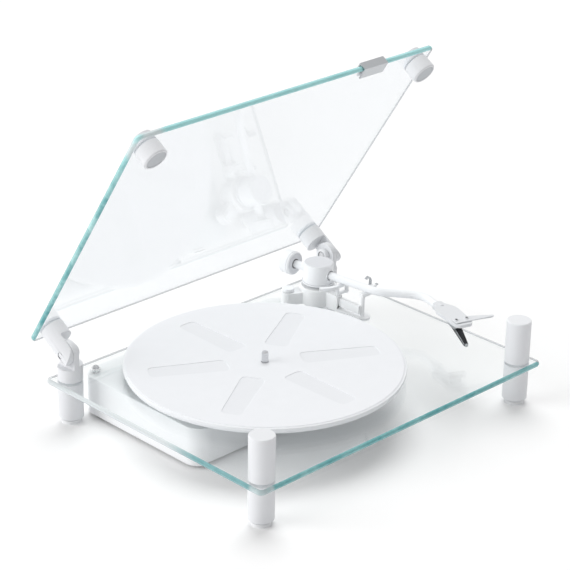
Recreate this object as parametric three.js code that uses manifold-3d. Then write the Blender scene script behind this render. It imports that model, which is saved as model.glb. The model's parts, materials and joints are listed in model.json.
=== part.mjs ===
// A record player on a clear glass plinth with a hinged clear glass lid.
// Millimetres, +Z up, +X right, +Y to the back, where the lid is hinged.
// The lid stands open, the arm lies in its rest and the platter is at a stop.

import * as THREE from 'three';
import { mergeVertices } from 'three/addons/utils/BufferGeometryUtils.js';
import Module from 'manifold-3d';

const wasm = await Module();
wasm.setup();

const { degToRad } = THREE.MathUtils;

// Fits that the whole product shares
const seat = 0.3; // gap between a piece and what it rests on or sits in
const running = 0.4; // gap round a piece that turns or slides
const overrun = 2; // how far a cutting shape passes the face it opens
const wideSides = 60; // sides of the platter
const fineSides = 24; // sides of a large round piece
const coarseSides = 16; // sides of a small round piece
const smallSides = 10; // sides of a pin or a bore
const cornerSteps = 4; // steps in the curve of a sheet's corner
const curveSteps = 6; // steps in a plain curve
const archSteps = 12; // steps in half a turn

// The platter, and the room round it that sets the size of the glass
const platterRadius = 150;
const platterFromLeft = 29.2;
const platterFromFront = 30.7;
const platterOverhang = 3.7; // past the sheet's back edge
const armLane = 88.8; // from the platter to the sheet's right edge
const platterX = platterFromLeft + platterRadius;
const platterY = platterFromFront + platterRadius;

// Glass sheets: the plinth and the lid are the same sheet
const sheetWidth = platterX + platterRadius + armLane;
const sheetDepth = platterY + platterRadius - platterOverhang;
const sheetThick = 6;
const sheetCorner = 4;
const sheetEdgeFlat = 1; // flat band left in the middle of the polished round edge
const sheetEdgeSteps = 2; // steps in the round on each side of it
const underGlass = 43; // from the table to the underside of the plinth

// Posts and feet
const postRadius = 13.5;
const postInset = 19.1; // from the sheet's edges to a post's axis
const postRounding = 1.2;
const footHeight = 4;
const footRadius = 11;
const footTaper = 2.2;
const postStudRadius = 4;
const postStudLength = 24; // thread under a post's bottom face

// Lid hinges, measured up from the plinth's top face and across from the post's axis
const hingeHeight = 31;
const hingeOpenAngle = 57.8;
const ledgeOuter = 15;
const ledgeInner = 18;
const earOuter = 4.5;
const earInner = 1.8;
const hingePinRadius = 3;
const hingePinShort = 1; // its end stops this far inside the post's side
const hingeCapRadius = 7.8;
const hingeCapReach = 7.5;
const hingeCapRing = 5.2;
const hingeCapGroove = 0.8;
const lapEndRadius = 12.5;

// Lid fittings, measured from the hinge axis square to the lid
const lidStandoff = 34; // to the lid's inner face
const stubLength = 16.5;
const stubRecess = 2;
const stubPadRadius = 11;
const lidStudRadius = 4;
const lidStudLength = 15;
const lidCapRadius = 13;
const lidCapThick = 3.5;
const lidRestGap = 0.3; // left under the stubs when the lid is shut

// Handle on the lid's free edge
const handleFromRight = 93;
const handleX = sheetWidth - handleFromRight;
const handleWidth = 35;
const handleDepth = 13;
const handleWall = 1.5;

// Drive box under the glass
const boxFromLeft = 40;
const boxFromRight = 88;
const boxFromBack = 9;
const boxLeft = boxFromLeft;
const boxRight = sheetWidth - boxFromRight;
const boxBack = sheetDepth - boxFromBack;
const boxFloorGap = 3;
const boxCorner = 20;
const boxWall = 2.5;
const boxRoof = 2.7;
const boxRounding = 1.4;
const boxRoundingSteps = 2;
const coverThick = 2.5;
const coverBossRadius = 5;
const coverBossInset = 9;
const coverBossBack = 34; // clear of the start switch

// Platter and what turns with it, heights from the plinth's top face
const platterUnder = 8.5;
const platterRimTop = 12.5;
const platterWeb = 2.8;
const platterLip = 2.5;
const platterSkirtDrop = 2;
const platterSkirtWall = 3;
const platterSkirtInset = 1.6;
const matTop = 13.2;
const slotCount = 6;
const slotTurn = 30;
const slotInner = 40; // from the axis
const slotFromRim = 22.2; // between a slot and the mat's rim
const slotInnerHalf = 13;
const slotOuterHalf = 11;
const slotRounding = 7;
const spindleRadius = 3.6;
const spindleTop = 25.5;
const spindleNose = 2;
const spindleShoulderShare = 0.75; // of the spindle's radius, below its tip
const spindleTipShare = 0.35;
const shaftRadius = 4;
const hubRadius = 16;
const bearingFlangeRadius = 20;
const bearingFlangeThick = 3.5;
const bearingBarrelRadius = 9;
const bearingBossRadius = 15; // boss under the roof of the box that holds the bearing
const bearingBossDepth = 5;

// Belt drive inside the box, heights from the table
const wheelRadius = 42;
const boxPastWheel = 6.7; // from the wheel's rim to the front of the box
const boxFront = platterY - wheelRadius - boxPastWheel;
const wheelBottom = 23;
const wheelThick = 8;
const wheelWeb = 3;
const wheelRim = 5;
const wheelHubRadius = 10;
const beltRatio = 7;
const beltThick = 1.2;
const beltHeight = 5;
const motorAside = 69.2; // from the platter's axis to the motor's
const motorBehind = 81.3;
const motorX = platterX - motorAside;
const motorY = platterY + motorBehind;
const motorRadius = 17;
const motorHeight = 14.5;
const motorShaftRadius = 1.5;

// Circuit board, sockets and start button
const boardFromRight = 68; // from the box's sides to the board's middle
const boardFromBack = 56;
const boardX = boxRight - boardFromRight;
const boardY = boxBack - boardFromBack;
const boardWidth = 76;
const boardDepth = 46;
const boardThick = 1.6;
const boardHeight = 12;
const boardPostRadius = 3;
const boardPostInset = 4.5; // from the board's edges to a post's axis
const chipHalf = 6.4;
const chipHeight = 1.6;
const canRadius = 3;
const canHeight = 9;
const canInset = 9; // from the board's back edge
const canShares = [0.3, 0.7]; // places along the board's width
const inletFromRight = 34;
const inletX = boxRight - inletFromRight;
const inletRadius = 5;
const inletFlange = 7;
const inletBore = 2.9;
const inletPin = 1;
const inletDepth = 12;
const inletFace = 2; // thickness of the flange
const jackFromInlet = 52;
const jackX = inletX - jackFromInlet;
const jackPitch = 16;
const jackRadius = 4.2;
const jackBore = 1.8;
const jackReach = 6.5;
const jackPlateThick = 1.6;
const jackPlateMargin = 7;
const socketHeight = 22;
const buttonFromSide = 13;
const buttonFromBack = 11;
const buttonX = boxLeft + buttonFromSide;
const buttonY = boxBack - buttonFromBack;
const buttonRadius = 3.3;
const buttonTop = 3.8;
const buttonTravel = 1.2;
const buttonRim = 0.6;
const collarRadius = 5.2;
const collarHeight = 1.6;
const switchHalf = 3.4;
const switchHeight = 6;
const switchStem = 1.6;

// Tonearm, heights from the plinth's top face
const armFromPlatter = 21.8; // from the platter's edge to the pivot
const armFromBack = 54.5; // from the sheet's back edge to the pivot
const armX = platterX + platterRadius + armFromPlatter;
const armY = sheetDepth - armFromBack;
const armHeight = 35;
const tubeRadius = 4.5;
const tubeTail = 48; // behind the pivot
const tubeRunShort = 67; // how much shorter than the platter's radius
const tubeRun = platterRadius - tubeRunShort; // pivot to first bend
const tubeSideShort = 98.3;
const tubeSide = platterRadius - tubeSideShort; // first bend to second
const tubeNose = 29.7; // second bend to headshell
const tubeGrip = 5; // length of tube held in the headshell
const restHeading = 6.3; // from straight ahead, towards the right
const sideHeading = 36.7;
const noseHeading = -18.6;
const bendRadius = 27;
const bendStep = 9; // degrees turned between two sections of the tube
const tubeWall = 1;
const tubeSides = 14;

// Tonearm bearing housing
const drumRadius = 17;
const drumWall = 3;
const drumRise = 12; // from the tube's axis
const drumDrop = 11.5;
const drumTop = armHeight + drumRise;
const drumBottom = armHeight - drumDrop;
const drumRoof = 2.5;
const drumFloor = 2.5;
const drumEdge = 1;
const flangeRadius = 18.5;
const flangeThick = 1.5;
const drumPort = 6;
const pillarRadius = 9;
const pillarDrop = 7.5; // from the tube's axis
const pillarTop = armHeight - pillarDrop;
const pillarSocket = 9;
const pillarBore = 2.5;
const axleRadius = 1.8;
const axleHalf = 15.5;
const gimbalHalf = 6;

// Tonearm base
const baseThick = 3;
const columnRadius = 21;
const underDrum = 3.5; // from the column to the drum
const columnTop = drumBottom - underDrum;
const columnRounding = 1.2;
const towerAside = 3.2; // from the pivot to the middle of the tower
const towerHalf = 4;
const towerAhead = 14;
const towerDepth = 23;
const towerDrop = 1.5; // from the column's top
const towerTop = columnTop - towerDrop;
const towerX = armX - towerAside;
const towerBack = armY - towerAhead;
const towerFront = towerBack - towerDepth;
const towerLeft = towerX - towerHalf;
const towerRight = towerX + towerHalf;
const beamInset = 3.2;
const beamThick = 4.6;
const beamBottom = 6;
const beamTop = 16;
const restAside = 2;
const restBeforeBend = 15.5; // from the rest to the tube's first bend
const restReach = tubeRun - restBeforeBend;
const restX = armX + restAside;
const restY = armY - restReach;
const restPostRadius = 2.6;
const restFootRadius = 8;
const restPinRadius = 1.5; // on top of the post, inside the saddle
const restPinLength = 2.6;
const lobeAside = 29;
const lobeBehind = 18.5;
const lobeX = armX - lobeAside;
const lobeY = armY + lobeBehind;
const lobeHalf = 8.5;
const lobeTop = 13.7;
const skateRadius = 6.8;
const skateTop = 18;
const armStudRadius = 8;
const armNutRadius = 14;
const armNutThick = 6;

// Arm rest and its clip
const saddleAside = 2.6;
const saddleLength = 22;
const saddleDepth = 5.2;
const saddleThick = 4.2;
const saddleLeft = restX - saddleAside;
const saddleRight = saddleLeft + saddleLength;
const saddleFront = restY - saddleDepth / 2;
const saddleBack = restY + saddleDepth / 2;
const cheekThick = 5.8;
const clipInset = 2.6;
const clipPivotX = saddleRight - clipInset;
const clipPivotDrop = 1.5; // from the tube's axis
const clipPivotHeight = armHeight - clipPivotDrop;
const clipBossRadius = 2.2;
const clipPinRadius = 1;
const clipWidth = 3.4;
const clipThick = 1.2;
const clipHookReach = 7.6; // from the pivot back over the tube
const clipHookRise = 9.8;
const clipTopRise = 11.4;
const clipTabReach = 11.4;
const clipTabDrop = 1.4;
const clipTabDip = 2.8;
const clipNeckShare = 0.7; // of the hook's rise, above the pivot
const clipSteps = 20;

// Cueing lift and lever
const liftRadius = 34; // from the arm's pivot
const liftBarWidth = 4;
const liftBarThick = 3;
const liftRodRadius = 2;
const liftRodDepth = 9;
const liftFrom = 10; // headings of the bar's two ends
const liftTo = -43;
const leverAhead = 25.5;
const leverDrop = 4.5; // from the tower's top
const leverHeight = towerTop - leverDrop;
const leverRadius = 2;
const leverLength = 21.2; // from the tower to the handle's far side
const leverY = armY - leverAhead;
const leverReach = towerRight + leverLength;
const leverSocket = 5;
const leverHandle = 14;
const leverTip = 2.6;
const leverCrown = 1.6; // radius of the handle's flat end

// Headshell, lengths along the shell from the tube's end
const shellLength = 63;
const shellRise = 5; // from the tube's axis
const shellTop = armHeight + shellRise;
const shellThick = 3.5;
const shellShoulderShare = 0.38;
const shellWaistShare = 0.76;
const shellShoulderHalf = 12.8;
const shellWaistHalf = 11.4;
const shellNeckHalf = 5;
const shellFrontRounding = 7;
const shellSocketLength = 11;
const shellSocketRadius = 5.7;
const screwAlong = 52.5;
const screwPitch = 12.7;
const screwHeadRadius = 2.25;
const screwHeadHeight = 1.2;
const liftPlateFront = 58.5;
const liftPlateDepth = 11;
const liftPlateThick = 1.2;
const liftPlateLeft = 9.5;
const fingerReach = 36;
const fingerTipHalf = 1.7;

// Cartridge and the tongue of its stylus, lengths along the shell from the tube's end
const cartridgeBack = 30;
const cartridgeFront = 48;
const cartridgeHeight = 7.2;
const cartridgeHeel = 2.6; // height of its back face
const cartridgeSlope = 11; // length of the slope under the heel
const cartridgeHalf = 7.6;
const cartridgeLowHalf = 6.4;
const stylusBack = 37;
const stylusShoulder = 46;
const stylusReach = 65.5;
const stylusTip = 15.4; // height over the plinth's top face
const stylusTipFlat = 2.5;
const stylusTipHeight = 2;
const stylusTopHalf = 4.6;
const stylusTipHalf = 2.2;

// Counterweight and its scale ring
const weightFront = 33.5;
const weightBack = 48;
const weightRadius = 13.7;
const weightEdge = 1.2;
const dialThick = 2.6;
const dialRadius = 12.4;

const glassTop = underGlass + sheetThick;
const boxRoofUnder = underGlass - seat - boxRoof;
const postRight = sheetWidth - postInset;
const postBack = sheetDepth - postInset;
const pivotHeight = glassTop + hingeHeight;
const armLevel = glassTop + armHeight;
const saddleTop = armLevel - tubeRadius - seat;
const saddleLow = saddleTop - saddleThick;
const lidOuter = lidStandoff + sheetThick;

// Finishes
const finish = (color, roughness, metalness = 0) => ({ color, roughness, metalness });
const white = finish(0xf3f4f5, 0.45);
const matWhite = finish(0xeceeee, 0.7);
const grey = finish(0x9aa0a4, 0.5);
const darkGrey = finish(0x5b5f63, 0.6);
const black = finish(0x15161a, 0.45);
const steel = finish(0xb9bcc0, 0.3, 0.9);
const brass = finish(0xb99a54, 0.35, 0.9);
const green = finish(0x2e6b4b, 0.6);
const rubber = finish(0xd4d6d8, 0.85);
const glass = { ...finish(0xdff3f0, 0.05), transparent: true, opacity: 0.35 };

const product = new THREE.Group();
const lid = new THREE.Group();
lid.position.set(0, postBack, pivotHeight);
lid.rotation.x = -degToRad(hingeOpenAngle);

function addPiece(name, geometry, look, parent = product) {
  const mesh = new THREE.Mesh(welded(geometry), new THREE.MeshStandardMaterial(look));
  mesh.name = name;
  parent.add(mesh);
}

// Joins vertices that share a place and drops the triangles that collapse on a lathe's axis.
function welded(geometry) {
  const bare = geometry.clone();
  bare.deleteAttribute('normal');
  bare.deleteAttribute('uv');
  const merged = mergeVertices(bare);
  const source = merged.index.array;
  const kept = [];
  for (let i = 0; i < source.length; i += 3) {
    const [a, b, c] = [source[i], source[i + 1], source[i + 2]];
    if (a !== b && b !== c && c !== a) kept.push(a, b, c);
  }
  merged.setIndex(kept);
  merged.computeVertexNormals();
  return merged;
}

function solidOf(geometry) {
  const mesh = welded(geometry);
  return new wasm.Manifold(new wasm.Mesh({
    numProp: 3,
    vertProperties: Float32Array.from(mesh.attributes.position.array),
    triVerts: Uint32Array.from(mesh.index.array),
  }));
}

function geometryOf(solid) {
  const mesh = solid.getMesh();
  const geometry = new THREE.BufferGeometry();
  geometry.setAttribute('position', new THREE.BufferAttribute(mesh.vertProperties, 3));
  geometry.setIndex(new THREE.BufferAttribute(mesh.triVerts, 1));
  return geometry;
}

const join = (...parts) => geometryOf(parts.map(solidOf).reduce((sum, part) => sum.add(part)));
const cut = (body, ...tools) => geometryOf(
  tools.map(solidOf).reduce((rest, tool) => rest.subtract(tool), solidOf(body)),
);
const common = (...parts) => geometryOf(
  parts.map(solidOf).reduce((rest, part) => rest.intersect(part)),
);

// A turned piece about a vertical line; the profile's points are [radius, height], running
// along the bottom, up the outside and back over the top.
function turned(x, y, profile, sides = fineSides) {
  const points = profile.map(([radius, height]) => new THREE.Vector2(radius, height));
  return new THREE.LatheGeometry(points, sides).rotateX(Math.PI / 2).translate(x, y, 0);
}

function disc(x, y, radius, bottom, top, sides = coarseSides) {
  return turned(x, y, [[0, bottom], [radius, bottom], [radius, top], [0, top]], sides);
}

function ring(x, y, bore, radius, bottom, top, sides = coarseSides) {
  const profile = [[bore, bottom], [radius, bottom], [radius, top], [bore, top], [bore, bottom]];
  return turned(x, y, profile, sides);
}

// A round bar along X between two planes
function barAlongX(from, to, y, z, radius, sides = coarseSides) {
  return disc(0, 0, radius, from, to, sides).rotateY(Math.PI / 2).translate(0, y, z);
}

// A round bar along Y between two planes
function barAlongY(x, from, to, z, radius, sides = coarseSides) {
  return disc(0, 0, radius, -to, -from, sides).rotateX(Math.PI / 2).translate(x, 0, z);
}

function block(left, right, front, back, bottom, top) {
  return new THREE.BoxGeometry(right - left, back - front, top - bottom)
    .translate((left + right) / 2, (front + back) / 2, (bottom + top) / 2);
}

function roundedRect(left, right, front, back, radius) {
  const shape = new THREE.Shape();
  shape.moveTo(left + radius, front);
  shape.absarc(right - radius, front + radius, radius, -Math.PI / 2, 0);
  shape.absarc(right - radius, back - radius, radius, 0, Math.PI / 2);
  shape.absarc(left + radius, back - radius, radius, Math.PI / 2, Math.PI);
  shape.absarc(left + radius, front + radius, radius, Math.PI, Math.PI * 1.5);
  return shape;
}

function plate(shape, bottom, top, curveSegments = curveSteps) {
  const options = { depth: top - bottom, bevelEnabled: false, curveSegments };
  return new THREE.ExtrudeGeometry(shape, options).translate(0, 0, bottom);
}

// A plate with rounded upper and lower edges; the shape is its outline at full width.
function softPlate(left, right, front, back, corner, bottom, top, round, bevelSegments) {
  const inner = roundedRect(left + round, right - round, front + round, back - round,
    corner - round);
  const geometry = new THREE.ExtrudeGeometry(inner, {
    depth: top - bottom - 2 * round,
    bevelThickness: round,
    bevelSize: round,
    bevelSegments,
    curveSegments: cornerSteps,
  });
  return geometry.translate(0, 0, bottom + round);
}

// Corners [x, y] joined by straight runs, each corner rounded off over a given length
function softenedPath(corners, lengths) {
  const points = corners.map(([x, y]) => new THREE.Vector2(x, y));
  const path = new THREE.Path().moveTo(points[0].x, points[0].y);
  for (let i = 1; i < points.length - 1; i += 1) {
    const back = points[i - 1].clone().sub(points[i]).setLength(lengths[i - 1]).add(points[i]);
    const on = points[i + 1].clone().sub(points[i]).setLength(lengths[i - 1]).add(points[i]);
    path.lineTo(back.x, back.y);
    path.quadraticCurveTo(points[i].x, points[i].y, on.x, on.y);
  }
  const last = points[points.length - 1];
  return path.lineTo(last.x, last.y);
}

// A path given by its stations, so that a straight run takes no sections between its ends
class StationPath extends THREE.Curve {
  constructor(stations) {
    super();
    this.places = stations.map(({ place }) => new THREE.Vector3(...place));
    this.directions = stations.map(({ direction }) => new THREE.Vector3(...direction).normalize());
  }

  getSpacedPoints() {
    return this.places;
  }

  getTangentAt(share) {
    return this.directions[Math.round(share * (this.places.length - 1))].clone();
  }
}

function roundSection(radius, sides) {
  const section = new THREE.Shape();
  for (let i = 0; i < sides; i += 1) {
    const angle = (i / sides) * Math.PI * 2;
    const point = [radius * Math.cos(angle), radius * Math.sin(angle)];
    if (i === 0) section.moveTo(...point);
    else section.lineTo(...point);
  }
  return section;
}

function swept(section, path, steps) {
  return new THREE.ExtrudeGeometry(section, { steps, extrudePath: path, bevelEnabled: false });
}

// The four corners of the sheet; side is -1 at the left and 1 at the right
const corners = [
  { name: 'front_left', x: postInset, y: postInset },
  { name: 'front_right', x: postRight, y: postInset },
  { name: 'back_left', x: postInset, y: postBack },
  { name: 'back_right', x: postRight, y: postBack },
];
const sides = [
  { name: 'left', x: postInset, outward: -1 },
  { name: 'right', x: postRight, outward: 1 },
];

// A clear sheet with a polished round edge and its holes
function glassSheet(front, bottom, holes) {
  const round = (sheetThick - sheetEdgeFlat) / 2;
  const sheet = softPlate(0, sheetWidth, front, front + sheetDepth, sheetCorner + round, bottom,
    bottom + sheetThick, round, sheetEdgeSteps);
  const drills = holes.map(([x, y, radius]) => disc(x, y, radius, bottom - overrun,
    bottom + sheetThick + overrun));
  return cut(sheet, ...drills);
}

function addPlinth() {
  const holes = corners.map(({ x, y }) => [x, y, postStudRadius + seat]);
  holes.push([platterX, platterY, bearingBarrelRadius + seat]);
  holes.push([armX, armY, armStudRadius + seat]);
  holes.push([buttonX, buttonY, buttonRadius + running]);
  addPiece('plinth_glass', glassSheet(0, underGlass, holes), glass);
}

function addFeetAndLowerPosts() {
  const top = underGlass - seat;
  for (const { name, x, y } of corners) {
    const foot = disc(x, y, footRadius, 0, footHeight - seat);
    addPiece(`foot_${name}`, foot, rubber);
    const post = turned(x, y, [
      [0, footHeight],
      [footRadius, footHeight],
      [postRadius, footHeight + footTaper],
      [postRadius, top],
      [0, top],
    ]);
    const socket = disc(x, y, postStudRadius + seat, top - postStudLength, top + overrun);
    addPiece(`lower_post_${name}`, cut(post, socket), white);
  }
}

// The threaded stud under an upper post, through the glass and into the lower post
function postStud(x, y, top) {
  const bottom = glassTop + seat - postStudLength;
  return disc(x, y, postStudRadius, bottom, top);
}

function addFrontPosts() {
  const height = hingeHeight + lidStandoff - stubLength - lidRestGap;
  const top = glassTop + height;
  const bottom = glassTop + seat;
  for (const { name, x } of sides) {
    const post = turned(x, postInset, [
      [0, bottom],
      [postRadius, bottom],
      [postRadius, top - postRounding],
      [postRadius - postRounding / 2, top - postRounding / 4],
      [postRadius - postRounding, top],
      [0, top],
    ]);
    const stud = postStud(x, postInset, bottom + seat);
    addPiece(`front_post_${name}`, join(post, stud), white);
  }
}

// Outline of a hinge post seen from the front, x counted outwards from its axis
function hingeFrontOutline() {
  const top = hingeHeight + postRadius + overrun;
  const wide = postRadius + overrun;
  const outline = new THREE.Shape();
  outline.moveTo(-wide, 0);
  outline.lineTo(wide, 0);
  outline.lineTo(wide, ledgeOuter);
  outline.lineTo(earOuter + postRounding, ledgeOuter);
  outline.quadraticCurveTo(earOuter, ledgeOuter, earOuter, ledgeOuter + postRounding);
  outline.lineTo(earOuter, top);
  outline.lineTo(-earInner, top);
  outline.lineTo(-earInner, ledgeInner + postRounding);
  outline.quadraticCurveTo(-earInner, ledgeInner, -earInner - postRounding, ledgeInner);
  outline.lineTo(-wide, ledgeInner);
  return outline;
}

// Outline of a hinge post seen from the side: straight walls under a round head
function hingeSideOutline() {
  const outline = new THREE.Shape();
  outline.moveTo(-postRadius, 0);
  outline.lineTo(postRadius, 0);
  outline.absarc(0, hingeHeight, postRadius, 0, Math.PI);
  return outline;
}

function addHingePosts() {
  const bottom = glassTop + seat;
  for (const { name, x, outward } of sides) {
    const long = postRadius + overrun;
    const front = plate(hingeFrontOutline(), -long, long).rotateX(Math.PI / 2);
    if (outward < 0) front.rotateZ(Math.PI);
    front.translate(x, postBack, glassTop);
    const side = plate(hingeSideOutline(), -long, long, archSteps)
      .rotateX(Math.PI / 2).rotateZ(Math.PI / 2).translate(x, postBack, glassTop);
    const round = disc(x, postBack, postRadius, bottom, pivotHeight + postRadius, fineSides);
    const body = common(round, front, side);
    const pinHole = barAlongX(x - postRadius, x + postRadius, postBack, pivotHeight,
      hingePinRadius + seat);
    const stud = postStud(x, postBack, bottom + seat);
    addPiece(`hinge_post_${name}`, join(cut(body, pinHole), stud), white);
  }
}

// The hinge screw: a round cap on the inner face of the ear and a pin through the lid's lap
function addHingeScrews() {
  for (const { name, x, outward } of sides) {
    const capFace = earInner + seat;
    const screw = turned(0, 0, [
      [0, hingePinShort - postRadius],
      [hingePinRadius, hingePinShort - postRadius],
      [hingePinRadius, capFace],
      [hingeCapRadius, capFace],
      [hingeCapRadius, hingeCapReach - hingeCapGroove],
      [hingeCapRadius - hingeCapGroove, hingeCapReach],
      [hingeCapRing, hingeCapReach],
      [hingeCapRing, hingeCapReach - hingeCapGroove],
      [0, hingeCapReach - hingeCapGroove],
    ], coarseSides);
    screw.rotateY(-outward * Math.PI / 2).translate(x, postBack, pivotHeight);
    addPiece(`hinge_screw_${name}`, screw, white);
  }
}

function addLidGlass() {
  const free = -(postBack - postInset);
  const holes = sides.flatMap(({ x }) => [
    [x, 0, lidStudRadius + seat],
    [x, free, lidStudRadius + seat],
  ]);
  const front = postInset - sheetDepth;
  addPiece('lid_glass', glassSheet(front, lidStandoff, holes), glass, lid);
}

// A knuckle reaches from the lid's inner face to the hinge axis; only its outer part, the
// lap, passes beside the ear.
function addKnuckles() {
  const top = lidStandoff - seat;
  const bottom = lidStandoff - stubLength;
  for (const { name, x, outward } of sides) {
    const bar = disc(x, 0, postRadius, -postRadius, top, fineSides);
    const lapFace = x + outward * (earOuter + running);
    const far = x + outward * (postRadius + overrun);
    const nearSide = x - outward * (postRadius + overrun);
    const reach = postRadius + overrun;
    const drumEnd = barAlongX(Math.min(lapFace, far), Math.max(lapFace, far), 0, 0,
      lapEndRadius, fineSides);
    const lapBox = block(Math.min(lapFace, far), Math.max(lapFace, far), -reach, reach, 0,
      bottom + overrun);
    const headBox = block(Math.min(nearSide, far), Math.max(nearSide, far), -reach, reach,
      bottom, top);
    const body = common(bar, join(drumEnd, lapBox, headBox));
    const pinHole = barAlongX(x - reach, x + reach, 0, 0, hingePinRadius + running);
    const studHole = disc(x, 0, lidStudRadius + seat, lidOuter - lidStudLength - sheetThick,
      top + overrun);
    addPiece(`lid_knuckle_${name}`, cut(body, pinHole, studHole), white, lid);
  }
}

function addLidStubs() {
  const y = -(postBack - postInset);
  const top = lidStandoff - seat;
  const bottom = lidStandoff - stubLength;
  const recess = bottom + stubRecess;
  for (const { name, x } of sides) {
    const stub = turned(x, y, [
      [0, recess],
      [stubPadRadius, recess],
      [stubPadRadius, bottom],
      [postRadius - postRounding, bottom],
      [postRadius, bottom + postRounding],
      [postRadius, top],
      [0, top],
    ]);
    const studHole = disc(x, y, lidStudRadius + seat, lidOuter - lidStudLength - sheetThick,
      top + overrun);
    addPiece(`lid_stub_${name}`, cut(stub, studHole), white, lid);
    const pad = disc(x, y, stubPadRadius - seat, bottom + seat, recess - seat);
    addPiece(`lid_pad_${name}`, pad, grey, lid);
  }
}

// Round caps on the lid's outer face, each with a stud through the glass
function addLidCaps() {
  const ends = [{ name: 'back', y: 0 }, { name: 'front', y: -(postBack - postInset) }];
  const face = lidOuter + seat;
  for (const { name: end, y } of ends) {
    for (const { name, x } of sides) {
      const cap = turned(x, y, [
        [0, lidOuter - lidStudLength],
        [lidStudRadius, lidOuter - lidStudLength],
        [lidStudRadius, face],
        [lidCapRadius, face],
        [lidCapRadius, face + lidCapThick - postRounding],
        [lidCapRadius - postRounding, face + lidCapThick],
        [0, face + lidCapThick],
      ], coarseSides);
      addPiece(`lid_cap_${end}_${name}`, cap, white, lid);
    }
  }
}

function addHandle() {
  const edge = postInset - sheetDepth - seat;
  const inner = lidStandoff - seat;
  const outer = lidOuter + seat;
  const left = handleX - handleWidth / 2;
  const right = handleX + handleWidth / 2;
  const whole = block(left, right, edge - handleWall, edge + handleDepth, inner - handleWall,
    outer + handleWall);
  const slot = block(left - overrun, right + overrun, edge, edge + handleDepth + overrun, inner,
    outer);
  addPiece('lid_handle', cut(whole, slot), grey, lid);
}

const insideLeft = boxLeft + boxWall;
const insideRight = boxRight - boxWall;
const insideFront = boxFront + boxWall;
const insideBack = boxBack - boxWall;
const coverTop = boxFloorGap + coverThick;

function coverBosses(bottom, top, radius) {
  const xs = [insideLeft + coverBossInset, insideRight - coverBossInset];
  const ys = [insideFront + coverBossInset, insideBack - coverBossBack];
  return xs.flatMap((x) => ys.map((y) => disc(x, y, radius, bottom, top, smallSides)));
}

function addDriveBox() {
  const top = underGlass - seat;
  const outer = softPlate(boxLeft, boxRight, boxFront, boxBack, boxCorner, boxFloorGap, top,
    boxRounding, boxRoundingSteps);
  const inner = plate(roundedRect(insideLeft, insideRight, insideFront, insideBack,
    boxCorner - boxWall), boxFloorGap - overrun, boxRoofUnder);
  const bossLow = boxRoofUnder - bearingBossDepth;
  const tools = [
    disc(platterX, platterY, bearingBarrelRadius + seat, bossLow - overrun, top + overrun),
    disc(buttonX, buttonY, buttonRadius + running, boxRoofUnder - overrun, top + overrun),
    barAlongY(inletX, insideBack - overrun, boxBack + overrun, socketHeight, inletRadius + seat),
    barAlongY(jackX, insideBack - overrun, boxBack + overrun, socketHeight, jackRadius + seat),
    barAlongY(jackX + jackPitch, insideBack - overrun, boxBack + overrun, socketHeight,
      jackRadius + seat),
  ];
  const rooted = boxRoofUnder + boxRoof / 2;
  const bearingBoss = disc(platterX, platterY, bearingBossRadius, bossLow, rooted);
  const bosses = coverBosses(coverTop + seat, rooted, coverBossRadius);
  addPiece('drive_box', cut(join(cut(outer, inner), bearingBoss, ...bosses), ...tools), white);
}

// The cover closes the box from below and carries the motor and the board's posts.
function addBoxCover() {
  const sheet = plate(roundedRect(insideLeft + seat, insideRight - seat, insideFront + seat,
    insideBack - seat, boxCorner - boxWall - seat), boxFloorGap, coverTop);
  const posts = boardCorners().map(([x, y]) => disc(x, y, boardPostRadius, coverTop - overrun / 2,
    boardHeight - seat, smallSides));
  addPiece('box_cover', join(sheet, ...posts), white);
}

function boardCorners() {
  const alongX = boardWidth / 2 - boardPostInset;
  const alongY = boardDepth / 2 - boardPostInset;
  const xs = [boardX - alongX, boardX + alongX];
  const ys = [boardY - alongY, boardY + alongY];
  return xs.flatMap((x) => ys.map((y) => [x, y]));
}

function addCircuitBoard() {
  const left = boardX - boardWidth / 2;
  const right = boardX + boardWidth / 2;
  const front = boardY - boardDepth / 2;
  const back = boardY + boardDepth / 2;
  const top = boardHeight + boardThick;
  const sheet = block(left, right, front, back, boardHeight, top);
  const rooted = top - boardThick / 2;
  const chip = block(boardX - chipHalf, boardX + chipHalf, boardY - chipHalf, boardY + chipHalf,
    rooted, top + chipHeight);
  const cans = canShares.map((share) => disc(left + boardWidth * share, back - canInset,
    canRadius, rooted, top + canHeight, smallSides));
  addPiece('circuit_board', join(sheet, chip, ...cans), green);
}

// The motor stands on the cover; its shaft and pulley turn in it.
function addMotor() {
  const bottom = coverTop + seat;
  const top = bottom + motorHeight;
  const can = turned(motorX, motorY, [
    [0, bottom],
    [motorRadius, bottom],
    [motorRadius, top - postRounding],
    [motorRadius - postRounding, top],
    [0, top],
  ]);
  const hole = disc(motorX, motorY, motorShaftRadius + running, top - motorHeight / 2,
    top + overrun, smallSides);
  addPiece('motor', cut(can, hole), steel);

  const radius = wheelRadius / beltRatio;
  const wheelTop = wheelBottom + wheelThick;
  const flange = radius + beltThick;
  const low = wheelBottom + (wheelThick - beltHeight) / 2;
  const high = low + beltHeight;
  const pulley = turned(motorX, motorY, [
    [0, top - motorHeight / 2 + running],
    [motorShaftRadius, top - motorHeight / 2 + running],
    [motorShaftRadius, wheelBottom],
    [flange, wheelBottom],
    [flange, low - seat],
    [radius, low - seat],
    [radius, high + seat],
    [flange, high + seat],
    [flange, wheelTop],
    [0, wheelTop],
  ], smallSides);
  addPiece('motor_pulley', pulley, brass);
}

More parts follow.
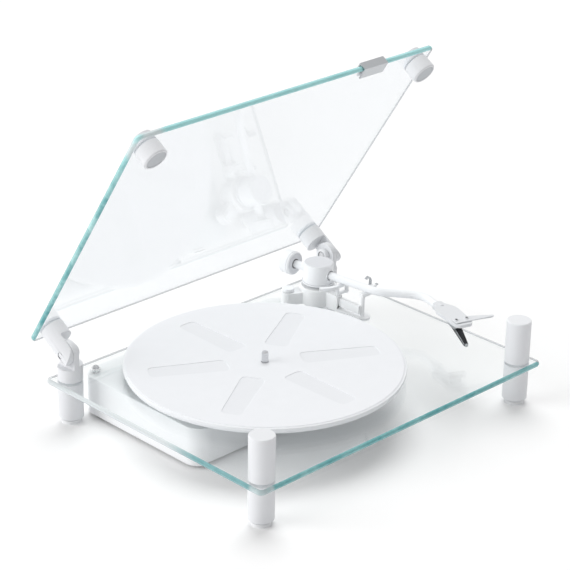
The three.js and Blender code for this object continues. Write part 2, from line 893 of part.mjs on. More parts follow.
// Outline of a belt round the drive wheel and the pulley, grown by a given amount
function beltOutline(grown, target) {
  const dx = motorX - platterX;
  const dy = motorY - platterY;
  const span = Math.hypot(dx, dy);
  const heading = Math.atan2(dy, dx);
  const large = wheelRadius + grown;
  const small = wheelRadius / beltRatio + grown;
  const lean = Math.acos((large - small) / span);
  target.absarc(platterX, platterY, large, heading + lean, heading - lean + Math.PI * 2);
  target.absarc(motorX, motorY, small, heading - lean, heading + lean);
  target.closePath();
  return target;
}

function addBelt() {
  const low = wheelBottom + (wheelThick - beltHeight) / 2;
  const outline = beltOutline(seat + beltThick, new THREE.Shape());
  outline.holes.push(beltOutline(seat, new THREE.Path()));
  addPiece('drive_belt', plate(outline, low, low + beltHeight, smallSides), black);
}

function addDriveWheel() {
  const top = wheelBottom + wheelThick;
  const bore = shaftRadius + seat;
  const webLow = wheelBottom + (wheelThick - wheelWeb) / 2;
  const webHigh = webLow + wheelWeb;
  const rim = wheelRadius - wheelRim;
  addPiece('drive_wheel', turned(platterX, platterY, [
    [bore, wheelBottom],
    [wheelHubRadius, wheelBottom],
    [wheelHubRadius, webLow],
    [rim, webLow],
    [rim, wheelBottom],
    [wheelRadius, wheelBottom],
    [wheelRadius, top],
    [rim, top],
    [rim, webHigh],
    [wheelHubRadius, webHigh],
    [wheelHubRadius, top],
    [bore, top],
    [bore, wheelBottom],
  ]), black);
}

// The main bearing goes through the glass into the boss under the roof of the box.
function addBearing() {
  const bore = shaftRadius + running;
  const flangeLow = glassTop + seat;
  const flangeHigh = flangeLow + bearingFlangeThick;
  const barrelLow = boxRoofUnder - bearingBossDepth;
  addPiece('bearing_housing', turned(platterX, platterY, [
    [bore, barrelLow],
    [bearingBarrelRadius, barrelLow],
    [bearingBarrelRadius, flangeLow],
    [bearingFlangeRadius, flangeLow],
    [bearingFlangeRadius, flangeHigh],
    [bore, flangeHigh],
    [bore, barrelLow],
  ]), brass);
}

function addSpindle() {
  const hubLow = glassTop + seat + bearingFlangeThick + running;
  const hubHigh = glassTop + platterUnder - seat;
  const top = glassTop + spindleTop;
  addPiece('spindle', turned(platterX, platterY, [
    [0, wheelBottom],
    [shaftRadius, wheelBottom],
    [shaftRadius, hubLow],
    [hubRadius, hubLow],
    [hubRadius, hubHigh],
    [spindleRadius, hubHigh],
    [spindleRadius, top - spindleNose],
    [spindleRadius * spindleShoulderShare, top - spindleNose / 4],
    [spindleRadius * spindleTipShare, top],
    [0, top],
  ], coarseSides), steel);
}

function addPlatter() {
  const bore = spindleRadius + seat;
  const under = glassTop + platterUnder;
  const floor = under + platterWeb;
  const rimTop = glassTop + platterRimTop;
  const skirtOuter = platterRadius - platterSkirtInset;
  const skirtInner = skirtOuter - platterSkirtWall;
  const lip = platterRadius - platterLip;
  addPiece('platter', turned(platterX, platterY, [
    [bore, under],
    [skirtInner, under],
    [skirtInner, under - platterSkirtDrop],
    [skirtOuter, under - platterSkirtDrop],
    [platterRadius, under + platterSkirtDrop / 2],
    [platterRadius, rimTop - platterSkirtDrop / 4],
    [platterRadius - platterSkirtDrop / 4, rimTop],
    [lip, rimTop],
    [lip, floor],
    [bore, floor],
    [bore, under],
  ], wideSides), white);
}

// A slot of the mat: a long rounded opening that narrows towards the rim
function matSlot(turn) {
  const half = (slotInnerHalf + slotOuterHalf) / 2;
  const slotOuter = platterRadius - platterLip - seat - slotFromRim;
  const corners = [
    [slotInner, 0],
    [slotInner, -slotInnerHalf],
    [slotOuter, -slotOuterHalf],
    [slotOuter, slotOuterHalf],
    [slotInner, slotInnerHalf],
    [slotInner, 0],
  ];
  const lengths = corners.slice(1, -1).map(() => Math.min(slotRounding, half));
  const outline = softenedPath(corners, lengths).getPoints(4);
  const centre = new THREE.Vector2(0, 0);
  const placed = outline.map((point) => point.rotateAround(centre, turn)
    .add(new THREE.Vector2(platterX, platterY)));
  return new THREE.Path(placed);
}

function addMat() {
  const radius = platterRadius - platterLip - seat;
  const outline = new THREE.Shape().absarc(platterX, platterY, radius, 0, Math.PI * 2);
  const sheet = plate(outline, glassTop + platterUnder + platterWeb + seat, glassTop + matTop,
    wideSides / 2);
  const cutters = [disc(platterX, platterY, spindleRadius + seat, glassTop, glassTop + matTop + overrun)];
  for (let i = 0; i < slotCount; i += 1) {
    const turn = degToRad(slotTurn) + (i / slotCount) * Math.PI * 2;
    const shape = new THREE.Shape(matSlot(turn).getPoints());
    cutters.push(plate(shape, glassTop + platterUnder, glassTop + matTop + overrun));
  }
  addPiece('platter_mat', cut(sheet, ...cutters), matWhite);
}

// The power inlet: a round socket with a centre pin, flange outside the box
function addPowerInlet() {
  const outside = boxBack + seat;
  const inner = insideBack - inletDepth;
  const shell = join(
    barAlongY(inletX, inner, outside + inletFace / 2, socketHeight, inletRadius, smallSides),
    barAlongY(inletX, outside, outside + inletFace, socketHeight, inletFlange),
  );
  const bore = barAlongY(inletX, inner + inletFace, outside + inletFace + overrun, socketHeight,
    inletBore, smallSides);
  const pin = barAlongY(inletX, inner + inletFace / 2, outside, socketHeight, inletPin, smallSides);
  addPiece('power_inlet', join(cut(shell, bore), pin), black);
}

// Two phono sockets on one plate
function addPhonoJacks() {
  const outside = boxBack + seat;
  const face = outside + jackPlateThick;
  const sheet = block(jackX - jackPlateMargin, jackX + jackPitch + jackPlateMargin, outside, face,
    socketHeight - jackPlateMargin, socketHeight + jackPlateMargin);
  const xs = [jackX, jackX + jackPitch];
  const barrels = xs.map((x) => barAlongY(x, insideBack - overrun, face + jackReach,
    socketHeight, jackRadius, smallSides));
  const bores = xs.map((x) => barAlongY(x, insideBack, face + jackReach + overrun,
    socketHeight, jackBore, smallSides));
  addPiece('phono_jacks', cut(join(sheet, ...barrels), ...bores), steel);
}

function addStartButton() {
  const top = glassTop + buttonTop;
  const stemTop = boxRoofUnder - seat;
  const button = turned(buttonX, buttonY, [
    [0, stemTop - switchHeight / 2 + buttonTravel],
    [switchStem, stemTop - switchHeight / 2 + buttonTravel],
    [switchStem, boxRoofUnder + buttonTravel],
    [buttonRadius, boxRoofUnder + buttonTravel],
    [buttonRadius, top - buttonRim],
    [buttonRadius - buttonRim, top],
    [0, top],
  ], coarseSides);
  addPiece('start_button', button, steel);
  addPiece('button_collar', ring(buttonX, buttonY, buttonRadius + running, collarRadius,
    glassTop + seat, glassTop + collarHeight), darkGrey);

  const body = block(buttonX - switchHalf, buttonX + switchHalf, buttonY - switchHalf,
    buttonY + switchHalf, stemTop - switchHeight, stemTop);
  const well = disc(buttonX, buttonY, switchStem + running, stemTop - switchHeight / 2 - running,
    stemTop + overrun, smallSides);
  addPiece('start_switch', cut(body, well), black);
}

// A direction on the plan, by its heading from straight ahead (-Y) towards the right (+X)
function ahead(heading, length) {
  const angle = degToRad(heading);
  return [Math.sin(angle) * length, -Math.cos(angle) * length];
}

function step([x, y], heading, length) {
  const [dx, dy] = ahead(heading, length);
  return [x + dx, y + dy];
}

const armFirst = step([armX, armY], restHeading, tubeRun);
const armSecond = step(armFirst, sideHeading, tubeSide);
const armEnd = step(armSecond, noseHeading, tubeNose);
const tubeTip = step(armEnd, noseHeading, tubeGrip);
// How far before its corner each bend begins
const bendLength = (turn) => bendRadius * Math.tan(degToRad(turn) / 2);
const firstCut = bendLength(sideHeading - restHeading);
const secondCut = bendLength(sideHeading - noseHeading);

// Places a piece drawn with X to the side, Y forward from the tube's end and Z up
function onShell(geometry) {
  return geometry.rotateZ(Math.PI + degToRad(noseHeading)).translate(armEnd[0], armEnd[1], glassTop);
}

// The tube's stations: straight runs between two bends of one radius, longer at both ends by
// a given length
function tubeRoute(longer) {
  const stations = [];
  let place = step([armX, armY], restHeading, -tubeTail - longer);
  let heading = restHeading;
  const mark = () => stations.push({
    place: [...place, armLevel],
    direction: [...ahead(heading, tubeRadius), 0],
  });
  const bend = (target) => {
    const turns = Math.ceil(Math.abs(target - heading) / bendStep);
    const turn = (target - heading) / turns;
    const chord = 2 * bendRadius * Math.sin(degToRad(Math.abs(turn)) / 2);
    for (let i = 0; i < turns; i += 1) {
      place = step(place, heading + turn / 2, chord);
      heading += turn;
      mark();
    }
  };
  mark();
  place = step(armFirst, restHeading, -firstCut);
  mark();
  bend(sideHeading);
  place = step(armSecond, sideHeading, -secondCut);
  mark();
  bend(noseHeading);
  place = step(tubeTip, noseHeading, longer);
  mark();
  return new StationPath(stations);
}

function addArmTube() {
  const route = tubeRoute(0);
  const tube = swept(roundSection(tubeRadius, tubeSides), route, route.places.length - 1);
  const hollow = tubeRoute(overrun);
  const inside = swept(roundSection(tubeRadius - tubeWall, smallSides), hollow,
    hollow.places.length - 1);
  const heart = block(-gimbalHalf, gimbalHalf, -gimbalHalf, gimbalHalf, -gimbalHalf, gimbalHalf)
    .rotateZ(degToRad(restHeading)).translate(armX, armY, armLevel);
  const bore = barAlongX(-drumRadius, drumRadius, 0, 0, axleRadius + running, smallSides)
    .rotateZ(degToRad(restHeading)).translate(armX, armY, armLevel);
  addPiece('arm_tube', cut(join(tube, heart), bore, inside), white);
}

// The bearing housing is a hollow drum with a port for the tube at each side.
function addArmHousing() {
  const bottom = glassTop + drumBottom;
  const top = glassTop + drumTop;
  const inner = drumRadius - drumWall;
  const bore = pillarRadius + running;
  const drum = turned(armX, armY, [
    [bore, bottom],
    [flangeRadius, bottom],
    [flangeRadius, bottom + flangeThick],
    [drumRadius, bottom + flangeThick],
    [drumRadius, top - drumEdge],
    [drumRadius - drumEdge, top],
    [0, top],
    [0, top - drumRoof],
    [inner, top - drumRoof],
    [inner, bottom + drumFloor],
    [bore, bottom + drumFloor],
    [bore, bottom],
  ]);
  const turn = degToRad(restHeading);
  const port = barAlongY(0, -drumRadius - overrun, drumRadius + overrun, 0, drumPort)
    .rotateZ(turn).translate(armX, armY, armLevel);
  const sockets = barAlongX(-axleHalf - seat, axleHalf + seat, 0, 0, axleRadius + seat, smallSides)
    .rotateZ(turn).translate(armX, armY, armLevel);
  addPiece('arm_housing', cut(drum, port, sockets), white);

  const axle = barAlongX(-axleHalf, axleHalf, 0, 0, axleRadius, smallSides)
    .rotateZ(turn).translate(armX, armY, armLevel);
  addPiece('arm_axle', axle, steel);
}

function addArmPillar() {
  const bottom = glassTop + columnTop - pillarSocket + seat;
  const top = glassTop + pillarTop;
  addPiece('arm_pillar', ring(armX, armY, pillarBore, pillarRadius, bottom, top), steel);
}

// The cast base: column, lift tower, beam, rest post and the rear lobe
function addArmBase() {
  const low = glassTop + seat;
  const footTop = glassTop + baseThick;
  const column = turned(armX, armY, [
    [0, low],
    [columnRadius, low],
    [columnRadius, glassTop + columnTop - columnRounding],
    [columnRadius - columnRounding, glassTop + columnTop],
    [0, glassTop + columnTop],
  ]);
  const footOutline = new THREE.Shape();
  footOutline.moveTo(towerLeft, armY);
  footOutline.lineTo(towerLeft, restY);
  footOutline.absarc(restX, restY, restX - towerLeft, Math.PI, Math.PI * 2);
  footOutline.lineTo(restX + restFootRadius, towerBack);
  footOutline.lineTo(restX + restFootRadius, armY);
  const foot = plate(footOutline, low, footTop);
  const tower = block(towerLeft, towerRight, towerFront, towerBack, low, glassTop + towerTop);
  const beamLeft = towerLeft + beamInset;
  const beam = block(beamLeft, beamLeft + beamThick, restY, towerFront + overrun, glassTop + beamBottom,
    glassTop + beamTop);
  const post = turned(restX, restY, [
    [0, footTop - overrun / 2],
    [restPostRadius, footTop - overrun / 2],
    [restPostRadius, saddleLow - seat],
    [restPinRadius, saddleLow - seat],
    [restPinRadius, saddleLow + restPinLength],
    [0, saddleLow + restPinLength],
  ], coarseSides);
  const lobe = lobeBar(low);
  const stud = disc(armX, armY, armStudRadius, underGlass - armNutThick - seat, low + overrun);
  const body = join(column, foot, tower, beam, post, lobe, stud);
  const socket = disc(armX, armY, pillarRadius + seat, glassTop + columnTop - pillarSocket,
    glassTop + columnTop + overrun);
  const wireBore = disc(armX, armY, pillarBore, underGlass - armNutThick - overrun,
    glassTop + columnTop, smallSides);
  addPiece('arm_base', cut(body, socket, wireBore, ...liftBores()), white);
}

// The rest: a saddle on top of the post and a cheek with the pin that the clip turns on
function addArmRest() {
  const saddle = block(saddleLeft, saddleRight, saddleFront, saddleBack, saddleLow, saddleTop);
  const cheek = block(saddleRight - cheekThick, saddleRight, saddleFront, saddleBack, saddleLow,
    glassTop + clipPivotHeight + clipBossRadius);
  const pin = barAlongY(clipPivotX, saddleBack - overrun, saddleBack + seat + clipWidth,
    glassTop + clipPivotHeight, clipPinRadius, smallSides);
  const socket = disc(restX, restY, restPinRadius + seat, saddleLow - overrun,
    saddleLow + restPinLength + seat, smallSides);
  addPiece('arm_rest', cut(join(saddle, cheek, pin), socket), white);
}

// A bar with a round end that carries the anti-skating knob beside the column
function lobeBar(low) {
  const span = Math.hypot(lobeX - armX, lobeY - armY);
  const turn = Math.atan2(lobeY - armY, lobeX - armX);
  const outline = new THREE.Shape();
  outline.moveTo(0, -lobeHalf);
  outline.lineTo(span, -lobeHalf);
  outline.absarc(span, 0, lobeHalf, -Math.PI / 2, Math.PI / 2);
  outline.lineTo(0, lobeHalf);
  return plate(outline, low, glassTop + lobeTop).rotateZ(turn).translate(armX, armY, 0);
}

// Where the lift rod stands: under the lift bar, in the middle of the tower's width
const rodX = towerX;
const rodY = armY - Math.sqrt(liftRadius ** 2 - towerAside ** 2);

function liftBores() {
  const top = glassTop + towerTop;
  const rodBore = disc(rodX, rodY, liftRodRadius + running, top - liftRodDepth - liftRodRadius,
    top + overrun, smallSides);
  const leverBore = barAlongX(towerRight - leverSocket - running, towerRight + overrun, leverY,
    glassTop + leverHeight, leverRadius + running, smallSides);
  return [rodBore, leverBore];
}

function addArmNut() {
  const top = underGlass - seat;
  addPiece('arm_nut', ring(armX, armY, armStudRadius + seat, armNutRadius, top - armNutThick, top),
    steel);
}

function addSkateKnob() {
  addPiece('anti_skate_knob', disc(lobeX, lobeY, skateRadius, glassTop + lobeTop + seat,
    glassTop + skateTop), white);
}

// The lift is a curved bar under the tube on a rod that slides in the tower.
function addCueLift() {
  const top = armLevel - tubeRadius - running;
  const inner = liftRadius - liftBarWidth / 2;
  const outer = liftRadius + liftBarWidth / 2;
  const from = degToRad(liftFrom) - Math.PI / 2;
  const to = degToRad(liftTo) - Math.PI / 2;
  const outline = new THREE.Shape();
  outline.absarc(armX, armY, outer, to, from);
  outline.absarc(armX, armY, inner, from, to, true);
  outline.closePath();
  const bar = plate(outline, top - liftBarThick, top);
  const rod = disc(rodX, rodY, liftRodRadius, glassTop + towerTop - liftRodDepth,
    top - liftBarThick / 2, smallSides);
  addPiece('cue_lift', join(bar, rod), white);
}

function addCueLever() {
  const level = glassTop + leverHeight;
  const shaft = barAlongX(towerRight - leverSocket, leverReach, leverY, level, leverRadius, smallSides);
  const handle = turned(leverReach - leverRadius, leverY, [
    [0, level - leverRadius],
    [leverRadius, level - leverRadius],
    [leverTip, level + leverHandle - leverTip],
    [leverCrown, level + leverHandle],
    [0, level + leverHandle],
  ], smallSides);
  addPiece('cue_lever', join(shaft, handle), white);
}

// The clip is a bent strip, drawn in the plane across the tube: a hook above, a tab beside.
function addArmClip() {
  const x = clipPivotX;
  const z = glassTop + clipPivotHeight;
  const middle = saddleBack + seat + clipWidth / 2;
  const line = new THREE.CatmullRomCurve3([
    [x - clipHookReach, z + clipHookRise],
    [x - clipHookReach / 2, z + clipTopRise],
    [x, z + clipHookRise * clipNeckShare],
    [x, z],
    [x + clipTabReach / 2, z - clipTabDip],
    [x + clipTabReach, z - clipTabDrop],
  ].map(([px, pz]) => new THREE.Vector3(px, middle, pz)));
  const half = clipThick / 2;
  const wide = clipWidth / 2;
  const section = new THREE.Shape([
    new THREE.Vector2(-wide, -half),
    new THREE.Vector2(wide, -half),
    new THREE.Vector2(wide, half),
    new THREE.Vector2(-wide, half),
  ]);
  const strip = swept(section, line, clipSteps);
  const boss = barAlongY(x, middle - wide, middle + wide, z, clipBossRadius, smallSides);
  const hole = barAlongY(x, middle - clipWidth, middle + clipWidth, z, clipPinRadius + seat, smallSides);
  addPiece('arm_clip', cut(join(strip, boss), hole), grey);
}

// Half of the shell's outline, as [half width, distance from the tube's end]
function shellOutline() {
  const shoulder = shellLength * shellShoulderShare;
  const waist = shellLength * shellWaistShare;
  const outline = new THREE.Shape();
  outline.moveTo(shellNeckHalf, 0);
  outline.bezierCurveTo(shellNeckHalf, shoulder / 2, shellShoulderHalf, shoulder / 2,
    shellShoulderHalf, shoulder);
  outline.lineTo(shellWaistHalf, waist);
  outline.quadraticCurveTo(shellWaistHalf, shellLength, shellWaistHalf - shellFrontRounding,
    shellLength);
  outline.lineTo(shellFrontRounding - shellWaistHalf, shellLength);
  outline.quadraticCurveTo(-shellWaistHalf, shellLength, -shellWaistHalf, waist);
  outline.lineTo(-shellShoulderHalf, shoulder);
  outline.bezierCurveTo(-shellShoulderHalf, shoulder / 2, -shellNeckHalf, shoulder / 2,
    -shellNeckHalf, 0);
  return outline;
}

function addHeadshell() {
  const board = plate(shellOutline(), shellTop - shellThick, shellTop);
  const socket = barAlongY(0, 0, shellSocketLength, armHeight, shellSocketRadius);
  const bore = barAlongY(0, -overrun, tubeGrip + seat, armHeight, tubeRadius + seat);
  const body = cut(join(board, socket), bore);
  addPiece('headshell', onShell(body), white);
}

// The finger lift is a thin plate under the two screws, drawn out to one side.
function addFingerLift() {
  const low = shellTop + seat;
  const back = liftPlateFront - liftPlateDepth;
  const outline = new THREE.Shape();
  outline.moveTo(liftPlateLeft, back);
  outline.lineTo(-shellWaistHalf, back);
  outline.lineTo(-fingerReach, liftPlateFront - fingerTipHalf * 2);
  outline.absarc(-fingerReach, liftPlateFront - fingerTipHalf, fingerTipHalf, -Math.PI / 2,
    Math.PI / 2, true);
  outline.lineTo(liftPlateLeft, liftPlateFront);
  const sheet = plate(outline, low, low + liftPlateThick);
  const heads = [-screwPitch / 2, screwPitch / 2].map((x) => disc(x, screwAlong, screwHeadRadius,
    low + liftPlateThick / 2, low + liftPlateThick + screwHeadHeight, smallSides));
  addPiece('finger_lift', onShell(join(sheet, ...heads)), white);
}

// Narrows a piece towards its lower end, from one half width at the top to another below
function narrowed(geometry, topHeight, lowHeight, topHalf, lowHalf) {
  const places = geometry.attributes.position;
  for (let i = 0; i < places.count; i += 1) {
    const share = (topHeight - places.getZ(i)) / (topHeight - lowHeight);
    const half = THREE.MathUtils.lerp(topHalf, lowHalf, share);
    places.setX(i, Math.sign(places.getX(i)) * half);
  }
  return geometry;
}

// A side profile, [distance, height], drawn out to both sides of the shell's middle
function sideProfile(points, half) {
  const outline = new THREE.Shape(points.map(([along, height]) => new THREE.Vector2(along, height)));
  return plate(outline, -half, half).rotateX(Math.PI / 2).rotateZ(Math.PI / 2);
}

function addCartridge() {
  const top = shellTop - shellThick - seat;
  const low = top - cartridgeHeight;
  const body = sideProfile([
    [cartridgeBack, top],
    [cartridgeBack, top - cartridgeHeel],
    [cartridgeBack + cartridgeSlope, low],
    [cartridgeFront, low],
    [cartridgeFront, top],
  ], cartridgeHalf);
  addPiece('cartridge', onShell(narrowed(body, top, low, cartridgeHalf, cartridgeLowHalf)), grey);

  const tongueTop = low - seat;
  const tongue = sideProfile([
    [stylusBack, tongueTop],
    [stylusReach - stylusTipFlat, stylusTip],
    [stylusReach, stylusTip],
    [stylusReach, stylusTip + stylusTipHeight],
    [stylusShoulder, tongueTop],
  ], stylusTopHalf);
  addPiece('stylus', onShell(narrowed(tongue, tongueTop, stylusTip, stylusTopHalf, stylusTipHalf)),
    black);
}

// Places a turned piece drawn about a vertical line on the arm's tail, height being the
// distance behind the pivot
function onTail(geometry) {
  return geometry.rotateX(-Math.PI / 2).rotateZ(degToRad(restHeading))
    .translate(armX, armY, armLevel);
}

function addCounterweight() {
  const bore = tubeRadius + seat;
  addPiece('counterweight', onTail(turned(0, 0, [
    [bore, weightFront + dialThick + seat],
    [weightRadius, weightFront + dialThick + seat],
    [weightRadius, weightBack - weightEdge],
    [weightRadius - weightEdge, weightBack],
    [bore, weightBack],
    [bore, weightFront + dialThick + seat],
  ])), white);
  addPiece('force_dial', onTail(turned(0, 0, [
    [bore, weightFront],
    [dialRadius, weightFront],
    [weightRadius, weightFront + dialThick / 2],
    [weightRadius, weightFront + dialThick],
    [bore, weightFront + dialThick],
    [bore, weightFront],
  ])), white);
}

addPlinth();
addFeetAndLowerPosts();
addFrontPosts();
addHingePosts();
addHingeScrews();
addLidGlass();
addKnuckles();
addLidStubs();
addLidCaps();
addHandle();
addDriveBox();
addBoxCover();
addCircuitBoard();
addMotor();
addBelt();
addDriveWheel();
addBearing();
addSpindle();
addPlatter();
addMat();
addPowerInlet();
addPhonoJacks();
addStartButton();
addArmTube();
addArmHousing();
addArmPillar();
addArmBase();
addArmRest();
addArmNut();
addSkateKnob();
addCueLift();
addCueLever();
addArmClip();
addHeadshell();
addFingerLift();
addCartridge();
addCounterweight();

product.add(lid);

// The origin is the middle of the whole outline, on the table.
product.updateMatrixWorld(true);
const extent = new THREE.Box3().setFromObject(product, true);
const middle = extent.getCenter(new THREE.Vector3());
product.position.set(-middle.x, -middle.y, -extent.min.z);

export default product;
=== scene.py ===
import json
import math

import bpy
from mathutils import Matrix, Vector


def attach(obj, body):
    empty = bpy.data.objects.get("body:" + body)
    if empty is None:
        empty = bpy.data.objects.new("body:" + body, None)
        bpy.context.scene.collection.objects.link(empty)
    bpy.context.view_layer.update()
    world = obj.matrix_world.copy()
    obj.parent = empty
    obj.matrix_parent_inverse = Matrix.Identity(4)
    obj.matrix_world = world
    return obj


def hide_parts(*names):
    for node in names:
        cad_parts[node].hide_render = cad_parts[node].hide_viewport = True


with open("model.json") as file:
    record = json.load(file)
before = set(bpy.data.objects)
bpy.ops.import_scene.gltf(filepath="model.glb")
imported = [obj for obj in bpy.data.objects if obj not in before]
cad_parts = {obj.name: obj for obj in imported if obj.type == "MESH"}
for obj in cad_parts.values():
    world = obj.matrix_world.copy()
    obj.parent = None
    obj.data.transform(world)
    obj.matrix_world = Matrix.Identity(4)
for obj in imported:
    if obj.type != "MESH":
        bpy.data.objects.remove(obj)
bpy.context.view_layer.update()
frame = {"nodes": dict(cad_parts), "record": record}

# Places and directions in the model, lengths in metres
UP = Vector((0, 0, 1))
LID_OPEN = math.radians(57.8)
LID_NORMAL = Vector((0, math.sin(LID_OPEN), math.cos(LID_OPEN)))
PLATTER_X = -0.0298
PLATTER_Y = 0.005074
BAND_Z = 0.0606
WEB_Z = 0.0604
ARM_PIVOT = Vector((0.142, 0.096874, 0.084))
ARM_HEADING = math.radians(6.3)
ARM_AHEAD = Vector((math.sin(ARM_HEADING), -math.cos(ARM_HEADING), 0))
LINER_AHEAD = 0.0138
# How far behind the pivot the painted shade ring in the dial's bore and the painted seam band stand
GAP_SHADE_BEHIND = 0.0332
SEAM_BEHIND = 0.0367
SHELL_SCREW = Vector((0.1498, -0.103, 0.0917))
SHELL_SCREW_STEP = Vector((0.012, -0.004, 0))
GRIP_START = Vector((0.1663, -0.1113, 0.0893))
GRIP_END = Vector((0.1881, -0.1204, 0.0893))
# Ends of the pale strip painted along the stylus guard's edge as a highlight, and place and axis of
# the pale disc painted on its tip as a highlight
HIGHLIGHT_START = Vector((0.15385, -0.0979, 0.0776))
HIGHLIGHT_END = Vector((0.1493, -0.1164, 0.0664))
TIP_HIGHLIGHT_PLACE = Vector((0.1518, -0.1173, 0.0654))
TIP_HIGHLIGHT_AXIS = Vector((-0.32, -0.94, -0.1))
LID_CAP_X = 0.1899
LID_CAP_Y = 0.0111
LID_CAP_Z = 0.34735
HINGE_CAP_X = 0.1832
HINGE_Y = 0.132274
HINGE_Z = 0.08

# Camera, found from the photo's outlines
CAMERA_EYE = Vector((-1.4670, -1.46633, 1.0812))
CAMERA_RIGHT = Vector((0.71407, -0.69986, 0.01728))
CAMERA_UP = Vector((0.27727, 0.3054, 0.91096))
CAMERA_AHEAD = Vector((0.64282, 0.6457, -0.41213))
CAMERA_SENSOR = 36
CAMERA_LENS = 137.43

# Studio: how bright the surroundings are as light and when seen, and how far from the first
# to the second a reflection shows them
WORLD_AS_LIGHT = 0.42
WORLD_SEEN = 1.0
WORLD_MIRRORED = 0.6
FLOOR_SIZE = 14
PAPER_DARK = (0.965, 0.965, 0.965)
PAPER_LIGHT = (0.975, 0.975, 0.975)
PAPER_THROWN = (0.8, 0.8, 0.81)

# Each sun's name, the direction it stands in, its strength and its width in degrees
SUNS = (
    ("overhead", Vector((0.5, 0.5, 1.25)), 1.6, 40),
    ("side", Vector((-0.83, 0.56, 0.3)), 2.0, 50),
    ("fill", Vector((-0.64, -0.65, 0.41)), 0.26, 70),
)

# Shaping of the copies and small pieces
MERGE_WITHIN = 0.00001
FLAT_WITHIN = math.radians(0.6)
SHARP_FROM = math.radians(35)
EASED_FROM = math.radians(40)
EASING_STEPS = 2
BAR_EASING = 0.2
RING_SIDES = 64
HEXAGON = 6
TIP_HIGHLIGHT_SIDES = 16
BUTTON_LIP = 0.2
BUTTON_STEP = 0.1

# Sockets of the mix node where it mixes colours
MIX_SHARE = 0
MIX_FIRST = 6
MIX_SECOND = 7
MIX_RESULT = 2

# Marking of the clear sheets: how upright a rim face is, and how near the edge it lies
RIM_LEAN = 0.98
STRIP_LEAN = 0.5
RIM_REACH = 0.006

# Faces that look this straight along an axis get a finish of their own: the arm housing's grey top,
# and grey painted shade on the dial's face that looks ahead
FACING = 0.9

# Clear glass
GLASS_IOR = 1.5
GLASS_TINT = (0.45, 0.9, 0.9)
GLASS_DENSITY = 2.0
GLASS_SMEAR_ROUGHNESS = 0.012
GLASS_SHADOW = (0.995, 0.998, 0.998)
PLINTH_SMEARED = (0.975, 0.984, 0.986)
PLINTH_CLEAN = (0.99, 0.994, 0.995)
LID_TINT = (0.9, 0.912, 0.93)

# The plinth lies below this height, and the lid above it
PLINTH_BELOW = 0.05

# Colours of the glass's rim
RIM_DEEP = (0.1, 0.4, 0.42)
RIM_PALE = (0.5, 0.83, 0.82)
RIM_TOP = (0.48, 0.9, 0.9)
RIM_LEFT = (0.2, 0.34, 0.36)
RIM_CLEARED = (0.76, 0.79, 0.8)
# Greys painted on the right and back edges, for the dark lines that reflections draw there when the
# sheet is seen through
RIM_LINE = (0.42, 0.44, 0.46)
RIM_FAR = (0.8, 0.8, 0.83)
RIM_BANDS = ((0.38, RIM_DEEP), (0.64, RIM_PALE))
STREAK_SHARE = 0.75

# Where the rim changes its colour, and by how much
LEFT_EDGE = -0.2
# Along the plinth's left rim: where the white drive box seen through it is painted as a pale stretch
CLEAR_FROM = -0.09
CLEAR_TO = -0.03
TOP_FROM = 0.31
TOP_TO = 0.345
LEFT_CAP = (-0.19, 0.0096, 0.346)
CAP_OUTSIDE = 0.025
CAP_INSIDE = 0.018
NEAR_CORNER = (-0.207, -0.1745, 0.046)
CORNER_OUTSIDE = 0.0185
CORNER_INSIDE = 0.0125
PLINTH_DEEP_SHARE = 0.45
TOP_SHARE = 0.75
LEFT_SHARE = 0.55
CLEARED_SHARE = 0.92
CAP_SHARE = 0.85
CORNER_SHARE = 1.3

# How much the rim hides the glass behind it, and how rough it is
RIM_SHARE = 0.92
RIM_SHARE_INSIDE = 0.08
RIM_SHARE_FAR = 0.65
RIM_ROUGHNESS = 0.13
RIM_ROUGHNESS_SPREAD = 0.1

# The lines of turned and of brushed metal
TURNED = (1, 1, 40)
BRUSHED = (40, 1, 1)

# The circuit board's lacquer, between the copper tracks and over them
LACQUER_BETWEEN = (0.02, 0.12, 0.06)
LACQUER_ON_COPPER = (0.05, 0.3, 0.14)

# Pieces whose sharp edges are eased, with the width of the easing
EASED = {
    "drive_box": 0.0006,
    "arm_base": 0.0004,
    "hinge_post_left": 0.0005,
    "hinge_post_right": 0.0005,
    "lid_knuckle_left": 0.0005,
    "lid_knuckle_right": 0.0005,
    "lid_handle": 0.0002,
    "platter_mat": 0.0003,
    "headshell": 0.0005,
    "finger_lift": 0.0002,
    "cartridge": 0.0004,
    "stylus": 0.0002,
    "cue_lift": 0.0003,
    "anti_skate_knob": 0.0006,
    "arm_clip": 0.0001,
}

# Clear sheets, with the direction that their flat faces look in
SHEETS = {"plinth_glass": UP, "lid_glass": LID_NORMAL}


class Signal:
    """A shader socket that can be used in sums."""

    def __init__(self, finish, socket):
        self.finish = finish
        self.socket = socket

    def sum_of(self, operation, first, second):
        return self.finish.node("ShaderNodeMath", {"operation": operation}, {0: first, 1: second})

    def __add__(self, other):
        return self.sum_of("ADD", self, other)

    def __rsub__(self, other):
        return self.sum_of("SUBTRACT", other, self)

    def __mul__(self, other):
        return self.sum_of("MULTIPLY", self, other)


